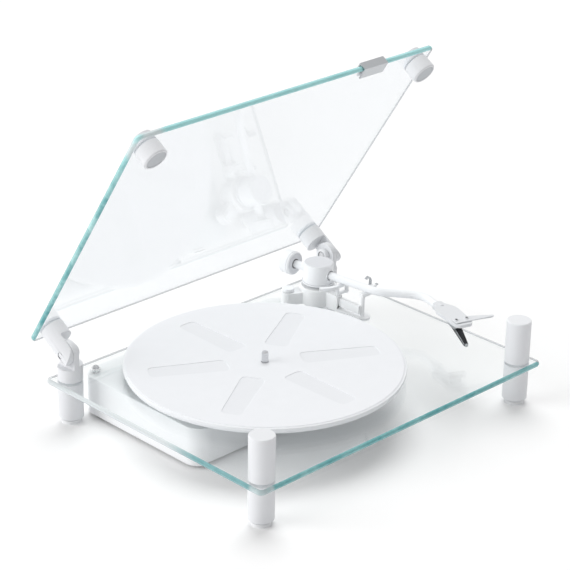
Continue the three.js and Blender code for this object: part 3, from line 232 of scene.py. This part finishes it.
class Finish:
    """A material whose nodes are added one by one."""

    def __init__(self, name):
        self.material = bpy.data.materials.new(name)
        self.material.use_nodes = True
        self.tree = self.material.node_tree
        self.tree.nodes.clear()
        self.place = self.node("ShaderNodeTexCoord", {}, {}, "Object")

    def node(self, kind, settings, sockets, output=0):
        """Adds a node, sets it up, and gives back one of its outputs."""
        made = self.tree.nodes.new(kind)
        for key, value in settings.items():
            setattr(made, key, value)
        for key, value in sockets.items():
            if isinstance(value, Signal):
                self.tree.links.new(value.socket, made.inputs[key])
            else:
                made.inputs[key].default_value = value
        return Signal(self, made.outputs[output]) if made.outputs else made

    def noise(self, scale, detail=2, roughness=0.5, stretch=(1, 1, 1)):
        where = self.node("ShaderNodeMapping", {}, {"Vector": self.place, "Scale": stretch})
        return self.node("ShaderNodeTexNoise", {},
                         {"Vector": where, "Scale": scale, "Detail": detail, "Roughness": roughness})

    def blend(self, amount, first, second):
        return self.node("ShaderNodeMix", {"data_type": "RGBA"},
                         {MIX_SHARE: amount, MIX_FIRST: first, MIX_SECOND: second}, MIX_RESULT)

    def between(self, amount, first, second):
        return self.blend(amount, (*first, 1), (*second, 1))

    def towards(self, tone, amount, colour):
        return self.blend(amount, tone, (*colour, 1))

    def ramp(self, amount, first_stop, last_stop):
        """A ramp of two stops, each a position and a colour."""
        made = self.node("ShaderNodeValToRGB", {}, {"Fac": amount})
        stops = made.socket.node.color_ramp.elements
        for stop, (position, colour) in zip(stops, (first_stop, last_stop)):
            stop.position = position
            stop.color = (*colour, 1)
        return made

    def below(self, value, limit):
        return self.node("ShaderNodeMath", {"operation": "LESS_THAN"}, {0: value, 1: limit})

    def fade(self, value, none, full):
        """Rises smoothly from 0 where the value is none to 1 where it is full."""
        return self.node("ShaderNodeMapRange", {"interpolation_type": "SMOOTHSTEP"},
                         {"Value": value, "From Min": none, "From Max": full})

    def near(self, centre, none, full):
        """Fades in with the distance to a place."""
        away = self.node("ShaderNodeVectorMath", {"operation": "DISTANCE"},
                         {0: self.place, 1: centre}, "Value")
        return self.fade(away, none, full)

    def attribute(self, name):
        return self.node("ShaderNodeAttribute", {"attribute_name": name}, {}, "Fac")

    def ray(self, kind):
        return self.node("ShaderNodeLightPath", {}, {}, kind)

    def bump(self, height, depth, strength):
        return self.node("ShaderNodeBump", {},
                         {"Height": height, "Distance": depth, "Strength": strength})

    def close(self, surface, volume=None):
        ends = {"Surface": surface}
        if volume:
            ends["Volume"] = volume
        self.node("ShaderNodeOutputMaterial", {}, ends)
        return self.material


def darker(colour, share):
    return [channel * share for channel in colour]


def mixture(first, second, share):
    """Two patterns in one, the first with the given share."""
    return first * share + second * (1 - share)


def around(pattern, middle, spread):
    """A value that follows a pattern to either side of its middle."""
    return pattern * spread + (middle - spread / 2)


def powder_coat(name, colour, roughness):
    """Sprayed and baked paint: a fine orange peel and faint cloudiness."""
    paint = Finish(name)
    cloud = paint.noise(scale=9)
    peel = paint.noise(scale=1400, roughness=0.55)
    skin = paint.node("ShaderNodeBsdfPrincipled", {}, {
        "Base Color": paint.between(cloud, darker(colour, share=0.965), colour),
        "Roughness": around(cloud, roughness, spread=0.08),
        "Specular IOR Level": 0.45,
        "Normal": paint.bump(peel, depth=0.00003, strength=0.5),
    })
    return paint.close(skin)


def moulded_plastic(name, colour, roughness):
    """Moulded plastic with a fine spark-eroded grain."""
    plastic = Finish(name)
    grain = plastic.noise(scale=2200, detail=3, roughness=0.6)
    cloud = plastic.noise(scale=14)
    mottle = mixture(cloud, grain, share=0.7)
    skin = plastic.node("ShaderNodeBsdfPrincipled", {}, {
        "Base Color": plastic.between(mottle, darker(colour, share=0.95), colour),
        "Roughness": around(grain, roughness, spread=0.12),
        "Normal": plastic.bump(grain, depth=0.00002, strength=0.4),
    })
    return plastic.close(skin)


def soft_rubber(name, colour, roughness, dusty=0.9):
    """Rubber with a dull, slightly dusty face."""
    rubber = Finish(name)
    dust = rubber.noise(scale=60, detail=4, roughness=0.6)
    pores = rubber.noise(scale=1800)
    skin = rubber.node("ShaderNodeBsdfPrincipled", {}, {
        "Base Color": rubber.between(dust, darker(colour, share=dusty), colour),
        "Roughness": around(dust, roughness, spread=0.1),
        "Normal": rubber.bump(pores, depth=0.00003, strength=0.5),
    })
    return rubber.close(skin)


def turned_metal(name, colour, roughness, stretch=TURNED):
    """Bare metal with the fine lines of its turning or brushing."""
    metal = Finish(name)
    lines = metal.noise(scale=90, detail=3, roughness=0.6, stretch=stretch)
    cloud = metal.noise(scale=30)
    skin = metal.node("ShaderNodeBsdfPrincipled", {}, {
        "Base Color": metal.between(lines, darker(colour, share=0.82), colour),
        "Metallic": 1.0,
        "Roughness": around(mixture(lines, cloud, share=0.7), roughness, spread=0.2),
        "Normal": metal.bump(lines, depth=0.00002, strength=0.35),
    })
    return metal.close(skin)


def circuit_lacquer(name):
    """Green lacquer over copper tracks."""
    board = Finish(name)
    tracks = board.node("ShaderNodeTexVoronoi", {"feature": "DISTANCE_TO_EDGE"},
                        {"Vector": board.place, "Scale": 160})
    line = board.below(tracks, limit=0.06)
    skin = board.node("ShaderNodeBsdfPrincipled", {}, {
        "Base Color": board.between(line, LACQUER_BETWEEN, LACQUER_ON_COPPER),
        "Roughness": around(line, middle=0.3, spread=0.1),
    })
    return board.close(skin)


def studio_paper():
    """Matt white paper that throws less light back up than it shows."""
    paper = Finish("studio_paper")
    fibre = paper.noise(scale=40, detail=3)
    shown = paper.node("ShaderNodeBsdfDiffuse", {},
                       {"Color": paper.between(fibre, PAPER_DARK, PAPER_LIGHT)})
    thrown = paper.node("ShaderNodeBsdfDiffuse", {}, {"Color": (*PAPER_THROWN, 1)})
    bounced = paper.ray("Is Diffuse Ray")
    return paper.close(paper.node("ShaderNodeMixShader", {}, {0: bounced, 1: shown, 2: thrown}))


def rim_tone(glass, streak, facet, low, far, line, inside):
    """The colour of the rim: sea green, deeper on the plinth, paler at the lid's top, clear in
    patches at the left, pale towards the back of the plinth's left rim as a painted view of the
    white drive box behind it, and grey along the right and back edges as painted reflection."""
    across, along, rise = (glass.node("ShaderNodeSeparateXYZ", {}, {0: glass.place}, axis)
                           for axis in "XYZ")
    left_side = glass.below(across, LEFT_EDGE)
    box_seen_through = glass.fade(along, CLEAR_FROM, CLEAR_TO)
    high = glass.fade(rise, TOP_FROM, TOP_TO)
    by_cap = glass.near(LEFT_CAP, CAP_OUTSIDE, CAP_INSIDE)
    by_corner = glass.near(NEAR_CORNER, CORNER_OUTSIDE, CORNER_INSIDE)
    patches = by_cap * CAP_SHARE + by_corner * streak * CORNER_SHARE
    tone = glass.ramp(mixture(streak, facet, STREAK_SHARE), *RIM_BANDS)
    tone = glass.towards(tone, low * PLINTH_DEEP_SHARE, RIM_DEEP)
    tone = glass.towards(tone, high * TOP_SHARE, RIM_TOP)
    tone = glass.towards(tone, low * left_side * LEFT_SHARE, RIM_LEFT)
    tone = glass.towards(tone, patches, RIM_CLEARED)
    # Painted reflection: grey on the far edges and on the narrow strips beside them
    tone = glass.towards(tone, far * inside, RIM_FAR)
    tone = glass.towards(tone, line, RIM_LINE)
    # Painted view through the glass: the plinth's left rim turns pale towards the back, where the
    # white drive box stands behind it
    return glass.towards(tone, box_seen_through * left_side * low * CLEARED_SHARE, RIM_CLEARED)


def clear_glass(name):
    """Thick clear glass. Its rim shows the sea green of the whole sheet from outside."""
    glass = Finish(name)
    smear = glass.noise(scale=7, detail=4, roughness=0.6)
    streak = glass.noise(scale=26, detail=6, roughness=0.7)
    facet = glass.noise(scale=120)
    rise = glass.node("ShaderNodeSeparateXYZ", {}, {0: glass.place}, "Z")
    low = glass.below(rise, PLINTH_BELOW)
    far = glass.attribute("far")
    line = glass.attribute("line")
    inside = glass.node("ShaderNodeNewGeometry", {}, {}, "Backfacing")
    body = glass.node("ShaderNodeBsdfPrincipled", {}, {
        "Base Color": glass.blend(low, (*LID_TINT, 1),
                                  glass.between(smear, PLINTH_SMEARED, PLINTH_CLEAN)),
        "Roughness": smear * GLASS_SMEAR_ROUGHNESS,
        "IOR": GLASS_IOR,
        "Transmission Weight": 1.0,
    })
    edge = glass.node("ShaderNodeBsdfPrincipled", {}, {
        "Base Color": rim_tone(glass, streak, facet, low, far, line, inside),
        "Roughness": around(facet, RIM_ROUGHNESS, RIM_ROUGHNESS_SPREAD),
        "IOR": GLASS_IOR,
    })
    from_inside = inside * (far * RIM_SHARE_FAR + RIM_SHARE_INSIDE)
    share = glass.attribute("rim") * ((1 - inside) * RIM_SHARE + from_inside)
    sheet = glass.node("ShaderNodeMixShader", {}, {0: share, 1: body, 2: edge})
    open_way = glass.node("ShaderNodeBsdfTransparent", {}, {"Color": (*GLASS_SHADOW, 1)})
    passing = glass.node("ShaderNodeMath", {"operation": "MAXIMUM"},
                         {0: glass.ray("Is Shadow Ray"), 1: glass.ray("Is Diffuse Ray")})
    surface = glass.node("ShaderNodeMixShader", {}, {0: passing, 1: sheet, 2: open_way})
    depth = glass.node("ShaderNodeVolumeAbsorption", {}, {
        "Color": (*GLASS_TINT, 1),
        "Density": GLASS_DENSITY,
    })
    return glass.close(surface, depth)


WHITE = powder_coat("white_powder_coat", (0.88, 0.895, 0.915), roughness=0.42)
# Copies of the same white coat with painted light and shade: darker on the posts and the headshell,
# lighter on the tonearm and its base
POST_WHITE_SHADED = powder_coat("white_post_coat_shaded", (0.81, 0.82, 0.84), roughness=0.4)
ARM_WHITE_LIT = powder_coat("white_arm_coat_lit", (0.92, 0.935, 0.955), roughness=0.36)
SHELL_WHITE_SHADED = powder_coat("white_shell_coat_shaded", (0.75, 0.765, 0.785), roughness=0.36)
BASE_WHITE_LIT = powder_coat("white_base_coat_lit", (0.95, 0.96, 0.97), roughness=0.42)
FOOT_RUBBER = soft_rubber("white_foot_rubber", (0.9, 0.91, 0.92), roughness=0.75)
WHITE_SATIN = moulded_plastic("white_satin_plastic", (0.93, 0.94, 0.95), roughness=0.38)
MAT = soft_rubber("white_mat_rubber", (0.855, 0.865, 0.89), roughness=0.62, dusty=0.965)
# The floor of the mat's slots: the mat's rubber painted darker for the shade in the recessed slots
SLOT_FLOOR_SHADED = soft_rubber("slot_floor_shaded_rubber", (0.82, 0.83, 0.855), roughness=0.62, dusty=0.965)
# Grey for the arm housing's top face, and painted shade: on the dial's face that looks ahead and on
# the band at the seam of dial and weight
GREY_FACE_AND_SHADE = powder_coat("grey_face_and_painted_shade", (0.735, 0.745, 0.775), roughness=0.4)
# Black painted into gaps and recesses for the shade in them: round the tube in the dial's bore, in
# the headshell's screw sockets and in the holes of the hinge caps
SHADE_BLACK = moulded_plastic("painted_shade_black", (0.09, 0.09, 0.1), roughness=0.45)
PALE_RUBBER = soft_rubber("pale_foot_rubber", (0.6, 0.62, 0.64), roughness=0.8)
GREY_METAL = turned_metal("grey_anodised", (0.62, 0.64, 0.66), roughness=0.42, stretch=BRUSHED)
STEEL = turned_metal("turned_steel", (0.72, 0.73, 0.75), roughness=0.26)
BRASS = turned_metal("turned_brass", (0.72, 0.55, 0.27), roughness=0.3)
BLACK = moulded_plastic("black_plastic", (0.02, 0.02, 0.024), roughness=0.32)
BLACK_RUBBER = soft_rubber("black_belt_rubber", (0.025, 0.025, 0.025), roughness=0.7)
BOARD = circuit_lacquer("board_lacquer")
PANE = clear_glass("clear_glass")

# The finish of each material slot, and of the nodes that have their own
SLOT_FINISH = {
    "white_paint": WHITE,
    "white_plastic": WHITE_SATIN,
    "white_mat": MAT,
    "pale_rubber": PALE_RUBBER,
    "grey_aluminium": GREY_METAL,
    "steel": STEEL,
    "bearing_brass": BRASS,
    "black_plastic": BLACK,
    "black_rubber": BLACK_RUBBER,
    "board_green": BOARD,
    "clear_glass": PANE,
}
OWN_FINISH = {"button_collar": WHITE_SATIN}
# Below, the posts and hinge parts take the shaded copy of the white coat, the tonearm and its base
# the lit copies, and the headshell and finger lift the shaded one: painted light and shade
for corner in ("front_left", "front_right", "back_left", "back_right"):
    OWN_FINISH["lower_post_" + corner] = POST_WHITE_SHADED
    OWN_FINISH["foot_" + corner] = FOOT_RUBBER
for side in ("left", "right"):
    for name in ("front_post_", "hinge_post_", "hinge_screw_", "lid_knuckle_", "lid_stub_"):
        OWN_FINISH[name + side] = POST_WHITE_SHADED
for name in ("arm_housing", "arm_tube", "counterweight", "cue_lift", "cue_lever", "force_dial",
             "anti_skate_knob"):
    OWN_FINISH[name] = ARM_WHITE_LIT
for name in ("arm_base", "arm_rest"):
    OWN_FINISH[name] = BASE_WHITE_LIT
for name in ("headshell", "finger_lift"):
    OWN_FINISH[name] = SHELL_WHITE_SHADED
SLOT_OF = {entry["node"]: entry["material_slot"] for entry in frame["record"]["subparts"]}
BODY_OF = {node: body for body, nodes in frame["record"]["behaviour"]["bodies"].items()
           for node in nodes}


def deselect():
    bpy.ops.object.select_all(action="DESELECT")


def work_on(piece):
    deselect()
    piece.select_set(True)
    bpy.context.view_layer.objects.active = piece


def add_to_scene(thing):
    bpy.context.scene.collection.objects.link(thing)


def dress(piece, finish):
    piece.data.materials.clear()
    piece.data.materials.append(finish)


def finish_shape(piece, easing=0):
    """Rounds the sharp edges a little and smooths the shading."""
    work_on(piece)
    if easing:
        edge = piece.modifiers.new("edge", "BEVEL")
        edge.width = easing
        edge.segments = EASING_STEPS
        edge.limit_method = "ANGLE"
        edge.angle_limit = EASED_FROM
        edge.use_clamp_overlap = True
        bpy.ops.object.modifier_apply(modifier=edge.name)
    bpy.ops.object.shade_smooth_by_angle(angle=SHARP_FROM)
    evening = piece.modifiers.new("evening", "WEIGHTED_NORMAL")
    evening.keep_sharp = True
    bpy.ops.object.modifier_apply(modifier=evening.name)


def smooth_copy(node):
    """A merged copy of a CAD node with smooth shading, which stands for the node."""
    mesh = frame["nodes"][node].data.copy()
    mesh.name = node + "_skin"
    piece = bpy.data.objects.new(node + "_skin", mesh)
    add_to_scene(piece)
    work_on(piece)
    bpy.ops.object.mode_set(mode="EDIT")
    bpy.ops.mesh.select_all(action="SELECT")
    bpy.ops.mesh.remove_doubles(threshold=MERGE_WITHIN)
    bpy.ops.mesh.dissolve_limited(angle_limit=FLAT_WITHIN)
    bpy.ops.object.mode_set(mode="OBJECT")
    finish_shape(piece, EASED.get(node, 0))
    dress(piece, OWN_FINISH.get(node, SLOT_FINISH[SLOT_OF[node]]))
    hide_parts(node)
    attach(piece, BODY_OF[node])
    return piece


def mark_rim(sheet, normal):
    """Marks the faces round the edge of a clear sheet and in its holes, those of the right
    and back edges, and the narrow strips beside the flat faces there."""
    # far and line mark where the painted reflection greys of the far edges go
    rim, far, line = (sheet.data.attributes.new(name, "FLOAT", "FACE")
                      for name in ("rim", "far", "line"))
    right, back = (max(vertex.co[axis] for vertex in sheet.data.vertices) for axis in (0, 1))
    for face in sheet.data.polygons:
        lean = abs(face.normal.dot(normal))
        edge = face.center.x > right - RIM_REACH or face.center.y > back - RIM_REACH
        rim.data[face.index].value = lean < RIM_LEAN
        far.data[face.index].value = lean < RIM_LEAN and edge
        line.data[face.index].value = STRIP_LEAN < lean < RIM_LEAN and edge


def face_finish(piece, finish, axis):
    """Gives the faces of a piece that look along an axis a finish of their own."""
    piece.data.materials.append(finish)
    for face in piece.data.polygons:
        if face.normal.dot(axis) > FACING:
            face.material_index = 1


def place_camera():
    lens = bpy.data.cameras.new("camera")
    lens.sensor_width = CAMERA_SENSOR
    lens.lens = CAMERA_LENS
    camera = bpy.data.objects.new("camera", lens)
    turn = Matrix((CAMERA_RIGHT, CAMERA_UP, -CAMERA_AHEAD)).transposed().to_4x4()
    camera.matrix_world = Matrix.Translation(CAMERA_EYE) @ turn
    add_to_scene(camera)
    bpy.context.scene.camera = camera
    bpy.context.scene.view_settings.view_transform = "Standard"


def light_studio():
    """White surroundings that look brighter than the light they give, and three wide suns."""
    world = bpy.data.worlds.new("studio")
    world.use_nodes = True
    nodes = world.node_tree.nodes
    links = world.node_tree.links
    sky = nodes["Background"]
    sky.inputs["Color"].default_value = (1, 1, 1, 1)
    path = nodes.new("ShaderNodeLightPath")
    direct = nodes.new("ShaderNodeMath")
    direct.operation = "MAXIMUM"
    mirrored = nodes.new("ShaderNodeMath")
    mirrored.operation = "MULTIPLY"
    mirrored.inputs[1].default_value = WORLD_MIRRORED
    seen = nodes.new("ShaderNodeMath")
    seen.operation = "MAXIMUM"
    strength = nodes.new("ShaderNodeMapRange")
    strength.inputs["To Min"].default_value = WORLD_AS_LIGHT
    strength.inputs["To Max"].default_value = WORLD_SEEN
    links.new(path.outputs["Is Camera Ray"], direct.inputs[0])
    links.new(path.outputs["Is Transmission Ray"], direct.inputs[1])
    links.new(path.outputs["Is Glossy Ray"], mirrored.inputs[0])
    links.new(direct.outputs[0], seen.inputs[0])
    links.new(mirrored.outputs[0], seen.inputs[1])
    links.new(seen.outputs[0], strength.inputs["Value"])
    links.new(strength.outputs[0], sky.inputs["Strength"])
    bpy.context.scene.world = world
    for name, towards, power, width in SUNS:
        sun(name, towards, power, width)


def sun(name, towards, power, width):
    """A wide soft light that shows no glare of its own in the glass."""
    light = bpy.data.lights.new(name, "SUN")
    light.energy = power
    light.angle = math.radians(width)
    lamp = bpy.data.objects.new(name, light)
    lamp.matrix_world = towards.to_track_quat("Z", "Y").to_matrix().to_4x4()
    lamp.visible_glossy = False
    lamp.visible_transmission = False
    add_to_scene(lamp)


def lay_floor():
    deselect()
    bpy.ops.mesh.primitive_plane_add(size=FLOOR_SIZE, location=(0, 0, 0))
    floor = bpy.context.active_object
    floor.name = "studio_floor"
    dress(floor, studio_paper())


def start_shape(name):
    """Names the flat piece that was just added and selects all of it in edit mode."""
    piece = bpy.context.active_object
    piece.name = piece.data.name = name
    bpy.ops.object.mode_set(mode="EDIT")
    bpy.ops.mesh.select_all(action="SELECT")
    return piece


def draw_out(length):
    bpy.ops.mesh.extrude_region_move(TRANSFORM_OT_translate={"value": (0, 0, length)})


def end_shape(piece, place, axis, easing=0):
    """Turns a piece that was made round Z at the origin, and puts its place in its mesh."""
    bpy.ops.mesh.select_all(action="SELECT")
    bpy.ops.mesh.normals_make_consistent(inside=False)
    bpy.ops.object.mode_set(mode="OBJECT")
    turn = axis.to_track_quat("Z", "Y").to_matrix().to_4x4()
    piece.matrix_world = Matrix.Translation(place) @ turn
    work_on(piece)
    bpy.ops.object.transform_apply(location=True, rotation=True, scale=True)
    finish_shape(piece, easing)


def ring(name, place, axis, outer, inner, length, easing=0):
    """A flat ring: a disc is inset, opened and drawn out along its axis."""
    deselect()
    bpy.ops.mesh.primitive_circle_add(vertices=RING_SIDES, radius=outer, fill_type="NGON")
    piece = start_shape(name)
    bpy.ops.mesh.inset(thickness=outer - inner)
    bpy.ops.mesh.delete(type="FACE")
    bpy.ops.mesh.select_all(action="SELECT")
    draw_out(length)
    end_shape(piece, place, axis, easing)
    return piece


def button(name, place, axis, radius, height, dome, sides=RING_SIDES):
    """A low round head with a domed top, or a dished one where dome is below zero: a disc is
    drawn out and inset twice."""
    deselect()
    bpy.ops.mesh.primitive_circle_add(vertices=sides, radius=radius, fill_type="NGON")
    piece = start_shape(name)
    draw_out(height)
    bpy.ops.mesh.inset(thickness=radius * BUTTON_LIP)
    bpy.ops.mesh.inset(thickness=radius * BUTTON_STEP, depth=dome)
    end_shape(piece, place, axis)
    return piece


def bar(name, start, end, wide, narrow):
    """A slim square bar that thins towards its end: a square is drawn out and its end shrunk."""
    run = end - start
    deselect()
    bpy.ops.mesh.primitive_plane_add(size=wide)
    piece = start_shape(name)
    draw_out(run.length)
    bpy.ops.transform.resize(value=(narrow / wide, narrow / wide, 1))
    end_shape(piece, start, run, narrow * BAR_EASING)
    return piece


def copy_to(piece, name, move):
    """Another of the same piece, with its own mesh, moved in its mesh."""
    twin = piece.copy()
    twin.data = piece.data.copy()
    twin.name = twin.data.name = name
    add_to_scene(twin)
    twin.location = move
    work_on(twin)
    bpy.ops.object.transform_apply(location=True, rotation=False, scale=False)
    return twin


def hand_over(piece, finish, body):
    dress(piece, finish)
    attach(piece, body)


def arm_details():
    """What sits on the tonearm: the liner of the port, a black ring painted in the dial's bore for
    the shade in the gap round the tube, and a grey band painted at the seam of dial and weight for
    the shade in that gap.
    """
    liner = ring("port_liner", ARM_PIVOT + ARM_AHEAD * LINER_AHEAD, ARM_AHEAD,
                 outer=0.0064, inner=0.0056, length=0.0034, easing=0.0002)
    hand_over(liner, ARM_WHITE_LIT, "arm_yoke")
    # Painted shade: a black ring in the dial's bore, where the gap round the tube is in shade
    gap_shade = ring("dial_gap_shade", ARM_PIVOT - ARM_AHEAD * GAP_SHADE_BEHIND, -ARM_AHEAD,
                outer=0.0056, inner=0.0047, length=0.0004)
    hand_over(gap_shade, SHADE_BLACK, "dial")
    # Painted shade: a grey band at the seam between dial and weight
    seam = ring("weight_seam", ARM_PIVOT - ARM_AHEAD * SEAM_BEHIND, -ARM_AHEAD,
                outer=0.01378, inner=0.0134, length=0.0006)
    hand_over(seam, GREY_FACE_AND_SHADE, "weight")


def shell_details():
    """The sockets of the headshell's screws, painted black for their shade, the finger lift's grip,
    and a pale strip along the stylus guard's edge and a pale disc on its tip, both painted
    highlights."""
    # The screw sockets are painted black for the shade inside them
    socket = button("shell_socket_left", SHELL_SCREW, UP,
                    radius=0.00155, height=0.00012, dome=-0.0006, sides=HEXAGON)
    hand_over(socket, SHADE_BLACK, "arm")
    twin = copy_to(socket, "shell_socket_right", SHELL_SCREW_STEP)
    hand_over(twin, SHADE_BLACK, "arm")
    grip = bar("finger_grip", GRIP_START, GRIP_END, wide=0.0026, narrow=0.0023)
    hand_over(grip, SHELL_WHITE_SHADED, "arm")
    # Painted highlights: a pale strip along the stylus guard's edge and a pale disc on its tip
    edge_highlight = bar("stylus_edge_highlight", HIGHLIGHT_START, HIGHLIGHT_END, wide=0.0009, narrow=0.0006)
    hand_over(edge_highlight, GREY_METAL, "arm")
    tip_highlight = button("stylus_tip_highlight", TIP_HIGHLIGHT_PLACE, TIP_HIGHLIGHT_AXIS,
                  radius=0.0021, height=0.0005, dome=0.0003, sides=TIP_HIGHLIGHT_SIDES)
    hand_over(tip_highlight, GREY_METAL, "arm")


def platter_details():
    """The band that closes the seam between the mat and the platter's lip, and the web that is the
    floor of the mat's slots, painted darker than the mat for the shade in the slots."""
    band = ring("mat_band", Vector((PLATTER_X, PLATTER_Y, BAND_Z)), UP,
                outer=0.1481, inner=0.1468, length=0.00115, easing=0.00025)
    hand_over(band, MAT, "turning_platter")
    web = ring("mat_web", Vector((PLATTER_X, PLATTER_Y, WEB_Z)), UP,
               outer=0.13, inner=0.012, length=0.0013)
    hand_over(web, SLOT_FLOOR_SHADED, "turning_platter")


def lid_details():
    """The upper step of the two caps at the lid's free edge."""
    for side, name in ((-1, "left"), (1, "right")):
        place = Vector((side * LID_CAP_X, LID_CAP_Y, LID_CAP_Z))
        head = button("lid_cap_head_" + name, place, LID_NORMAL,
                      radius=0.0115, height=0.0048, dome=0.0005)
        hand_over(head, POST_WHITE_SHADED, "lid")


def hinge_details():
    """The dark ring, painted black in the cap's hole for the shade round the pin, and the bright pin
    end in the cap of each hinge screw.
    """
    for side, name in ((-1, "left"), (1, "right")):
        inwards = Vector((-side, 0, 0))
        place = Vector((side * HINGE_CAP_X, HINGE_Y, HINGE_Z))
        # Painted shade: a black ring in the cap's hole round the pin end
        dark = ring("hinge_ring_" + name, place, inwards,
                    outer=0.00515, inner=0.0043, length=0.0003)
        hand_over(dark, SHADE_BLACK, "chassis")
        pin = button("hinge_pin_end_" + name, place, inwards,
                     radius=0.0036, height=0.0005, dome=0.0002)
        hand_over(pin, STEEL, "chassis")


def main():
    place_camera()
    light_studio()
    lay_floor()
    for node in frame["nodes"]:
        piece = smooth_copy(node)
        if node in SHEETS:
            mark_rim(piece, SHEETS[node])
        elif node == "arm_housing":
            face_finish(piece, GREY_FACE_AND_SHADE, UP)
        # The dial's face that looks ahead is painted grey for the shade it stands in
        elif node == "force_dial":
            face_finish(piece, GREY_FACE_AND_SHADE, ARM_AHEAD)
    arm_details()
    shell_details()
    platter_details()
    lid_details()
    hinge_details()


main()
